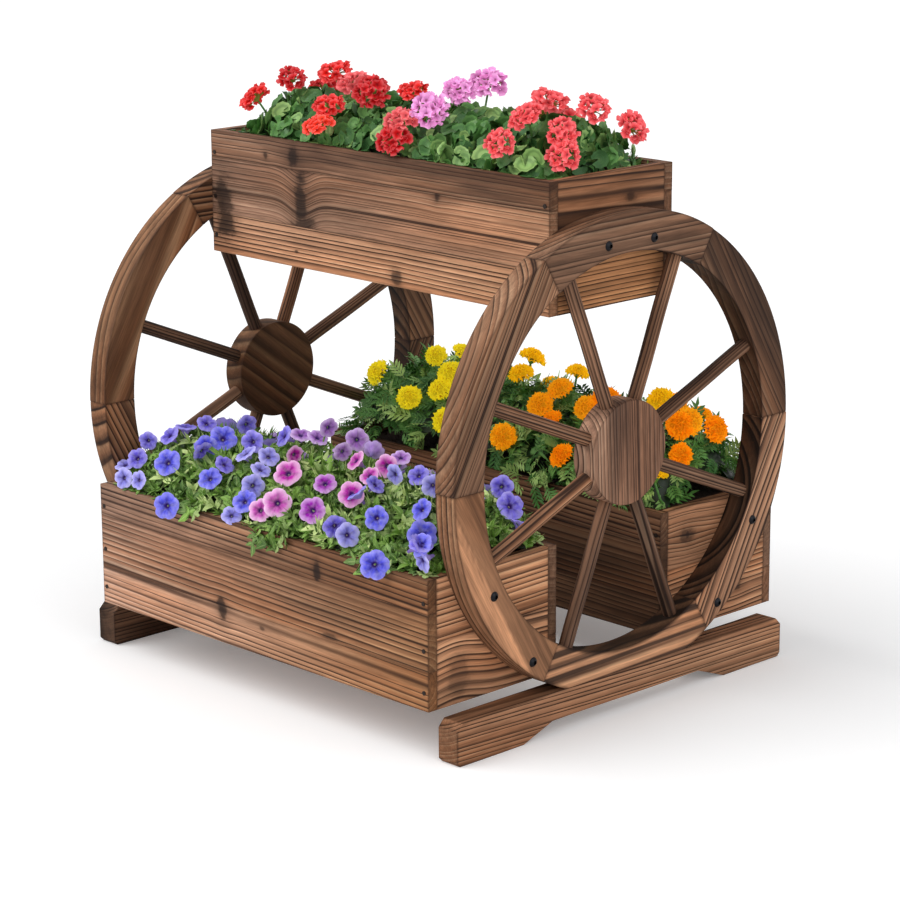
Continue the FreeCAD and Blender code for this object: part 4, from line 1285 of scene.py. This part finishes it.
def tube(path, radius, sides=5):
    """A stem along a path: points, faces and petal coordinates."""
    verts, faces, petal = [], [], []
    for i, place in enumerate(path):
        way = (path[min(i + 1, len(path) - 1)] - path[max(i - 1, 0)]).normalized()
        turn = way.to_track_quat("Z", "Y")
        for k in range(sides):
            angle = math.tau * k / sides
            verts.append(tuple(place + turn @ Vector((radius * math.cos(angle), radius * math.sin(angle), 0))))
            petal.append((0.9, 1.0, 0.0))
        if i:
            for k in range(sides):
                a, b = (i - 1) * sides + k, (i - 1) * sides + (k + 1) % sides
                faces.append((a, b, b + sides, a + sides))
    return verts, faces, petal


def geranium_bloom():
    """Domed head of florets with five broad petals each, 1 unit of radius."""
    florets, bits, parts = 20, random.Random(8), []
    for n in range(florets):
        z = 1 - 1.25 * (n + 0.5) / florets
        turn = n * 2.39996
        flat = math.sqrt(1 - z * z)
        out = Vector((flat * math.cos(turn), flat * math.sin(turn), 0.8 * z))
        aim = (out + Vector([bits.uniform(-0.6, 0.6) for _ in range(3)])).normalized()
        seat = out * bits.uniform(0.58, 0.86)
        move = Matrix.Translation(seat) @ aim.to_track_quat("Z", "Y").to_matrix().to_4x4()
        for k in range(5):
            verts, faces, petal = placed(petal_fan(bits.uniform(0.40, 0.54), 0.44, 0.05, 0.07, part=bits.random()),
                                         turn=math.tau * k / 5 + turn, tip=bits.uniform(0.1, 0.8))
            parts.append(([tuple(move @ Vector(v)) for v in verts], faces, petal))
        stalk = tube([Vector((0, 0, -0.42)), out * 0.3 + Vector((0, 0, -0.1)), seat], 0.045, 4)
        parts.append((stalk[0], stalk[1], [(-1.0, 0.0, 0.2)] * len(stalk[0])))
    return merged(parts)


def make_petal():
    """Colour of a petal from its tint and its petal coordinates, which are below 0 outside."""
    wires, get, put = new_group(
        "petal",
        {"Tint": ("Color", None), "Petal": ("Vector", None), "Throat": ("Color", (0, 0, 0, 1)),
         "Heart": ("Color", (1, 1, 1, 1)), "Outside": ("Color", (1, 1, 1, 1)), "Outside Share": ("Float", 0.4),
         "Rays": ("Float", 0.5), "Veins": ("Float", 30.0), "Pale Rim": ("Float", 0.3), "Depth": ("Float", 0.5),
         "Throat Share": ("Float", 0.9)},
        {"Color": "Color", "Height": "Float"})
    side, middle, turn = wires.split(get["Petal"])
    out = wires.math("ABSOLUTE", side)
    tint = get["Tint"]
    # by Depth, a petal darkens towards the bloom's middle: partly its own darker throat, partly painted shade inside
    # the bloom
    deep = wires.blend(1.0, tint, wires.node("ShaderNodeCombineColor", {
        0: get["Depth"], 1: wires.math("MULTIPLY", get["Depth"], 0.85), 2: get["Depth"]}).outputs[0], "MULTIPLY")
    colour = wires.blend(wires.ramp(out, (0.10, 0.0), (0.34, 0.55), (0.75, 1.0)), deep, tint)
    rays = wires.math("MULTIPLY", wires.ramp(middle, (0.72, 0.0), (1.0, 1.0)), wires.ramp(out, (0.35, 1.0), (0.98, 0.1)))
    colour = wires.blend(wires.math("MULTIPLY", rays, get["Rays"]), colour, deep)
    veins = wires.math("SINE", wires.math("MULTIPLY", turn, wires.math("MULTIPLY", get["Veins"], math.tau)))
    veins = wires.math("MULTIPLY", wires.ramp(veins, (0.3, 0.0), (1.0, 1.0)), wires.ramp(out, (0.25, 0.8), (0.95, 0.15)))
    colour = wires.blend(wires.math("MULTIPLY", veins, 0.40), colour, deep)
    cloud = wires.noise(wires.node("ShaderNodeTexCoord").outputs["Object"], (210.0, 210.0, 210.0), 2.0)
    warm = wires.node("ShaderNodeSeparateColor", {0: tint}).outputs[0]
    rim = wires.math("MULTIPLY", wires.ramp(out, (0.50, 0.0), (1.0, 1.0)), wires.math(
        "MULTIPLY", get["Pale Rim"], wires.math("MULTIPLY_ADD", warm, 1.6, 0.3)))
    cloud = wires.math("MULTIPLY", wires.math("MULTIPLY_ADD", cloud, 1.0, -0.40), get["Pale Rim"])
    rim = wires.math("MAXIMUM", wires.math("ADD", rim, cloud), 0.0)
    colour = wires.blend(rim, colour, wires.blend(0.72, tint, (1.0, 0.94, 0.98, 1.0)))
    throat = wires.math("MULTIPLY", wires.ramp(out, (0.13, 1.0), (0.27, 0.0)), get["Throat Share"])
    colour = wires.blend(throat, colour, get["Throat"])
    heart = wires.math("MULTIPLY", wires.ramp(out, (0.05, 1.0), (0.09, 0.0)), get["Throat Share"])
    colour = wires.blend(heart, colour, get["Heart"])
    behind = wires.math("MULTIPLY", wires.math("LESS_THAN", side, -0.01), get["Outside Share"])
    colour = wires.blend(behind, colour, get["Outside"])
    wires.put(put["Color"], colour)
    wires.put(put["Height"], veins)
    return wires.tree


PETAL = make_petal()
PETAL_GLOW = 0.22            # painted light: petals glow by emission, for the light that comes through thin petals from behind


def petal_material(name, **values):
    """Petals. tint is the bloom's colour."""
    material = bpy.data.materials.new(name)
    material.use_nodes = True
    wires = Wires(material.node_tree)
    shader = material.node_tree.nodes["Principled BSDF"]
    petal = wires.node("ShaderNodeGroup", node_tree=PETAL)
    wires.put(petal.inputs["Tint"], wires.attribute("tint").outputs["Color"])
    wires.put(petal.inputs["Petal"], wires.attribute("petal").outputs["Vector"])
    for key, value in values.items():
        petal.inputs[key.replace("_", " ")].default_value = value
    wires.put(shader.inputs["Base Color"], petal.outputs["Color"])
    shader.inputs["Roughness"].default_value = 0.6
    shader.inputs["Specular IOR Level"].default_value = 0.08
    # painted light: the petal glows in its own colour
    wires.put(shader.inputs["Emission Color"], petal.outputs["Color"])
    shader.inputs["Emission Strength"].default_value = PETAL_GLOW
    bump = wires.node("ShaderNodeBump", {"Height": petal.outputs["Height"], "Distance": 0.4 * MM, "Strength": 0.6})
    wires.put(shader.inputs["Normal"], bump.outputs["Normal"])
    return material


HANG = 12 * MM            # how far in front of a board a bloom hangs
AIR = 18 * MM             # how high a bloom stands over the leaves at most


def press_back(leaves, places, facings, size):
    """Pushes the leaves in front of each bloom behind it."""
    p = points_of(leaves)
    for place, facing in zip(places, facings):
        away = p - np.array(place)
        ahead = away @ np.array(facing)
        aside = np.linalg.norm(away - np.outer(ahead, facing), axis=1)
        hit = (ahead > -0.15 * size) & (ahead < 0.8 * size) & (aside < size)
        p[hit] -= np.outer(ahead[hit] + 0.25 * size, facing)
    leaves.vertices.foreach_set("co", p.astype(np.float32).ravel())
    leaves.update()


def landed(column, row, height, front, low, high):
    """Where the ray through a pixel of the photograph meets the leaves, or comes nearest to them.

    front is the outer top edge of the board before them. A ray that passes under it gives a bloom
    that hangs in front of the board.
    """
    ray = photo_ray(column, row)

    def at(y):
        return CAMERA_PLACE + ray * ((y - CAMERA_PLACE.y) / ray.y)

    if at(front.y).z < front.z + 1 * MM:
        return at(front.y - HANG)
    best, least = None, 1.0
    for y in np.linspace(front.y + 4 * MM, high.y, 90):
        place = at(y)
        gap = place.z - height(place.x, y)
        if gap < least and (best is None or low.x < place.x < high.x):
            best, least = place, gap
        if gap <= 0:
            break
    best.x = min(max(best.x, low.x), high.x)
    best.z = max(min(best.z, height(best.x, best.y) + AIR), front.z + AIR / 3)
    return best


def flowering(plant, height, bloom, material, stem_green, blooms, extras, size, lift, stem, seed, sun_share, flat=1.0):
    """Blooms at their places, on stems out of the leaves.

    blooms: (colour, how freely it turns, the pixels that its blooms cover).
    """
    low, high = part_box(plant + "_soil")
    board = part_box(PLANTINGS[plant] + "_front_side")
    edge = Vector((0, board[0].y, board[1].z))
    back = high.copy()
    if back.y < 0:        # nothing tall stands where the top box would stop it from lifting out
        back.y = min(back.y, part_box("top_box_front_side")[0].y - 1.2 * size * MM)
    bits = random.Random(seed)
    places, tints, freedoms = [], [], []

    def top(x, y):
        return height(x, y) + lift * MM

    for colour, freedom, pixels in blooms:
        for column, row in pixels:
            places.append(landed(column, row, top, edge, low, back))
            tints.append(colour)
            freedoms.append(freedom)
    seen = len(places)
    for _ in range(4000):
        x, y = bits.uniform(low.x + 0.015, high.x - 0.015), bits.uniform(low.y + 0.01, high.y - 0.01)
        place = Vector((x, y, height(x, y) + 0.4 * lift * MM))
        hidden = y > (low.y + high.y) / 2 + 0.02
        if hidden and extras and all((place - other).length > 2.1 * size * MM for other in places):
            nearest = min(range(seen), key=lambda i: (places[i] - place).length)
            places.append(place)
            tints.append(tints[nearest])
            freedoms.append(0.4)
            extras -= 1
    towards = (CAMERA_PLACE - (low + high) / 2).normalized()
    facings, sizes, stems = [], [], []
    for i, (place, freedom) in enumerate(zip(places, freedoms)):
        up = Vector((height(place.x - 0.01, place.y) - height(place.x + 0.01, place.y),
                     height(place.x, place.y - 0.01) - height(place.x, place.y + 0.01), 0.02)).normalized()
        sunny = towards if i < seen else Vector((-0.1, 0.6, 0.3))
        hangs = place.y < edge.y
        share = 0.9 if hangs else sun_share
        chance = Vector([bits.uniform(-1, 1) for _ in range(3)]) * freedom
        facing = (up * (1 - share) + sunny * share + chance).normalized()
        if hangs:
            facing = (facing + Vector((0, -0.35, 0))).normalized()
        facings.append(facing)
        grow = size * MM * bits.uniform(0.88, 1.12) * (1.06 - 0.3 * freedom)
        sizes.append((grow, grow, grow * flat))
        inside = place.y + 0.25 * ((low.y + high.y) / 2 - place.y) if not hangs else low.y + 8 * MM
        root = Vector((place.x * 0.98, inside, 0))
        root.z = height(root.x, root.y) - 12 * MM
        neck = place - facing * grow * 0.35
        knee = Vector((place.x, edge.y - 3 * MM, edge.z + 7 * MM)) if hangs else (neck + root) / 2 - facing * grow * 0.3
        stems.append(tube([root, (root + knee) / 2, knee, (knee + neck) / 2, neck], stem * MM))
    press_back(bpy.data.objects[plant + "_leaves"].data, places, facings, size * MM)
    seeds = bpy.data.meshes.new("seeds")
    seeds.from_pydata([tuple(p) for p in places], [], [])
    for key, rows in (("facing", facings), ("size", sizes), ("tint", [c[:3] for c in tints])):
        write_points(seeds, key, np.array([tuple(r) for r in rows]))
    heads = grown(STANDING, {"Bloom": bloom, "Seed": seed, "Material": material}, start=seeds)
    add_piece(plant + "_heads", heads, material, plant + "s", [plant + "_blooms"], smooth=50.0,
              flat_faces=False)
    verts, faces, petal = merged(stems)
    stalks = shape_object(plant + "_stalks", verts, faces, petal).data
    write_points(stalks, "tint", (0.6, 0.4, 0.5))
    add_piece(plant + "_stems", stalks, stem_green, plant + "s", [plant + "_blooms"], smooth=60.0,
              flat_faces=False)


VIOLET, BLUE, SKY = srgb(104, 92, 214), srgb(84, 86, 222), srgb(136, 134, 226)
MAGENTA, PURPLE, PINK, LAVENDER = srgb(192, 40, 170), srgb(158, 30, 176), srgb(204, 84, 186), srgb(170, 112, 204)
FACING, ANY = 0.22, 0.75
PETUNIAS = (
    (BLUE, FACING, ((167, 462), (209.6, 478), (166, 506), (244, 501), (376, 518), (422.6, 535), (374.5, 565), (223, 438))),
    (VIOLET, ANY, ((252, 442), (203, 452), (186, 426), (169, 435), (148, 441), (137, 458), (356, 492), (335, 527),
                   (207, 423), (247, 425), (283, 436), (376, 484), (418, 475), (502, 487), (521, 521), (536, 545),
                   (225, 464), (530, 512))),
    (BLUE, ANY, ((421, 509), (494, 532), (206, 447))),
    (SKY, ANY, ((231.5, 515), (245, 453), (261, 469), (253, 486), (125, 464), (123, 478), (138, 480), (394, 475),
                (348, 535), (433, 486), (441, 567), (269, 456))),
    (VIOLET, FACING, ((511, 505.5),)),
    (MAGENTA, FACING, ((287.5, 472.5), (351, 494))),
    (MAGENTA, ANY, ((295, 455), (355, 460), (386, 466), (369, 475))),
    (PURPLE, FACING, ((312, 510), (325, 483))),
    (PINK, FACING, ((260, 510), (277, 503))),
    (LAVENDER, ANY, ((301, 434), (318, 437), (329, 428), (357, 440), (343, 452), (374, 449), (401, 457))),
)
YELLOW, GOLD = srgb(250, 234, 44), srgb(255, 212, 26)
ORANGE, DEEP_ORANGE = srgb(255, 184, 26), srgb(255, 162, 14)
MARIGOLDS = (
    (YELLOW, 0.3, ((377, 372), (409, 397), (436, 355), (440, 389), (463, 352), (451, 372), (445, 420))),
    (GOLD, 0.3, ((533, 357), (578, 372), (521, 373), (718, 446), (660, 399))),
    (ORANGE, 0.3, ((540, 404), (560, 388), (585, 407), (503, 436), (690, 421), (676, 402))),
    (DEEP_ORANGE, 0.3, ((561, 455), (680, 425), (681, 455), (716, 429), (606, 398), (551, 420))),
)
SCARLET, CRIMSON, CORAL = srgb(232, 26, 16), srgb(206, 10, 18), srgb(242, 84, 88)
ROSE, LILAC, FLAME = srgb(232, 96, 98), srgb(240, 160, 220), srgb(252, 62, 30)
GERANIUMS = (
    (SCARLET, 0.35, ((255.5, 97.5), (335, 72.5), (414.5, 92), (329, 106))),
    (CRIMSON, 0.35, ((292, 79), (371.5, 92.5), (393.5, 139.5))),
    (FLAME, 0.35, ((318.5, 126),)),
    (ROSE, 0.35, ((401, 121), (355, 84))),
    (LILAC, 0.35, ((459, 91), (489, 83.5), (430, 110))),
    (CORAL, 0.35, ((526, 117), (549.5, 101.5), (500.5, 143), (564, 156), (562.5, 133), (594, 109), (632, 128))),
)
petunia_silk = petal_material("petunia_petal", Throat=srgb(46, 18, 92), Heart=srgb(150, 140, 136),
                              Outside=srgb(170, 150, 214), Rays=0.85, Veins=15.0, Pale_Rim=0.5, Depth=0.36)
marigold_silk = petal_material("marigold_petal", Throat=srgb(232, 140, 8), Heart=srgb(200, 112, 8),
                               Outside=srgb(78, 116, 46), Outside_Share=1.0, Rays=0.0, Veins=2.0, Pale_Rim=0.0,
                               Depth=0.36)
geranium_silk = petal_material("geranium_petal", Throat=srgb(128, 10, 26), Heart=srgb(170, 60, 50),
                               Outside=srgb(120, 122, 52), Outside_Share=1.0, Rays=0.3, Veins=3.0, Pale_Rim=0.10,
                               Depth=0.40, Throat_Share=0.35)
flowering("petunia", petunia_mound, shape_object("petunia_bloom", *petunia_bloom()), petunia_silk,
          petunia_green, PETUNIAS, 14, 14.4, 15, 1.0, 21, 0.6)
flowering("marigold", marigold_mound, shape_object("marigold_bloom", *marigold_bloom()), marigold_silk,
          marigold_green, MARIGOLDS, 10, 18.6, 20, 1.3, 22, 0.20, 0.72)
flowering("geranium", geranium_mound, shape_object("geranium_bloom", *geranium_bloom()), geranium_silk,
          geranium_green, GERANIUMS, 6, 17, 24, 1.2, 23, 0.20, 0.74)


# ------------------------------------------------------------------ room and light
# A plain white sweep under soft light from above and the front left, as in a studio.
floor_mesh = bpy.data.meshes.new("floor")
REACH = 30.0
FLOOR_GLOW = 0.17         # what the camera sees added to the floor, so that it is white but for shadows
floor_mesh.from_pydata([(-REACH, -REACH, 0), (REACH, -REACH, 0), (REACH, REACH, 0), (-REACH, REACH, 0)],
                       [], [(0, 1, 2, 3)])
floor = bpy.data.objects.new("floor", floor_mesh)
bpy.context.scene.collection.objects.link(floor)
floor_paint = bpy.data.materials.new("floor_paint")
floor_paint.use_nodes = True
floor_shader = floor_paint.node_tree.nodes["Principled BSDF"]
floor_shader.inputs["Base Color"].default_value = (0.93, 0.93, 0.93, 1)
floor_shader.inputs["Roughness"].default_value = 0.9
floor_shader.inputs["Specular IOR Level"].default_value = 0.0
floor_shader.inputs["Emission Color"].default_value = (1, 1, 1, 1)
wires = Wires(floor_paint.node_tree)
wires.put(floor_shader.inputs["Emission Strength"], wires.math(
    "MULTIPLY", wires.node("ShaderNodeLightPath").outputs["Is Camera Ray"], FLOOR_GLOW))
floor_mesh.materials.append(floor_paint)
floor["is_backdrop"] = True

world = bpy.data.worlds.new("studio")
bpy.context.scene.world = world
world.use_nodes = True
wires = Wires(world.node_tree)
path = wires.node("ShaderNodeLightPath")
seen = wires.math("MAXIMUM", path.outputs["Is Camera Ray"],
                  wires.math("MAXIMUM", path.outputs["Is Glossy Ray"], path.outputs["Is Transmission Ray"]))
ground = world.node_tree.nodes["Background"]
wires.put(ground.inputs["Color"], wires.blend(seen, (0.97, 0.98, 1.0, 1), (1.0, 1.0, 1.0, 1)))
wires.put(ground.inputs["Strength"], wires.math("MULTIPLY_ADD", seen, 0.50, 0.50))


def sun(name, towards, power, spread, colour=(1.0, 1.0, 1.0)):
    """A far soft lamp. towards: the way its light goes."""
    light = bpy.data.lights.new(name, "SUN")
    light.energy = power
    light.angle = math.radians(spread)
    light.color = colour
    holder = bpy.data.objects.new(name, light)
    holder.rotation_euler = Vector(towards).to_track_quat("-Z", "Y").to_euler()
    bpy.context.scene.collection.objects.link(holder)


sun("key", (0.42, 0.62, -0.78), 1.75, 50)
sun("fill", (-0.85, 0.10, -0.60), 0.75, 60)

bpy.context.scene.view_settings.view_transform = "Standard"

low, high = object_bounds()
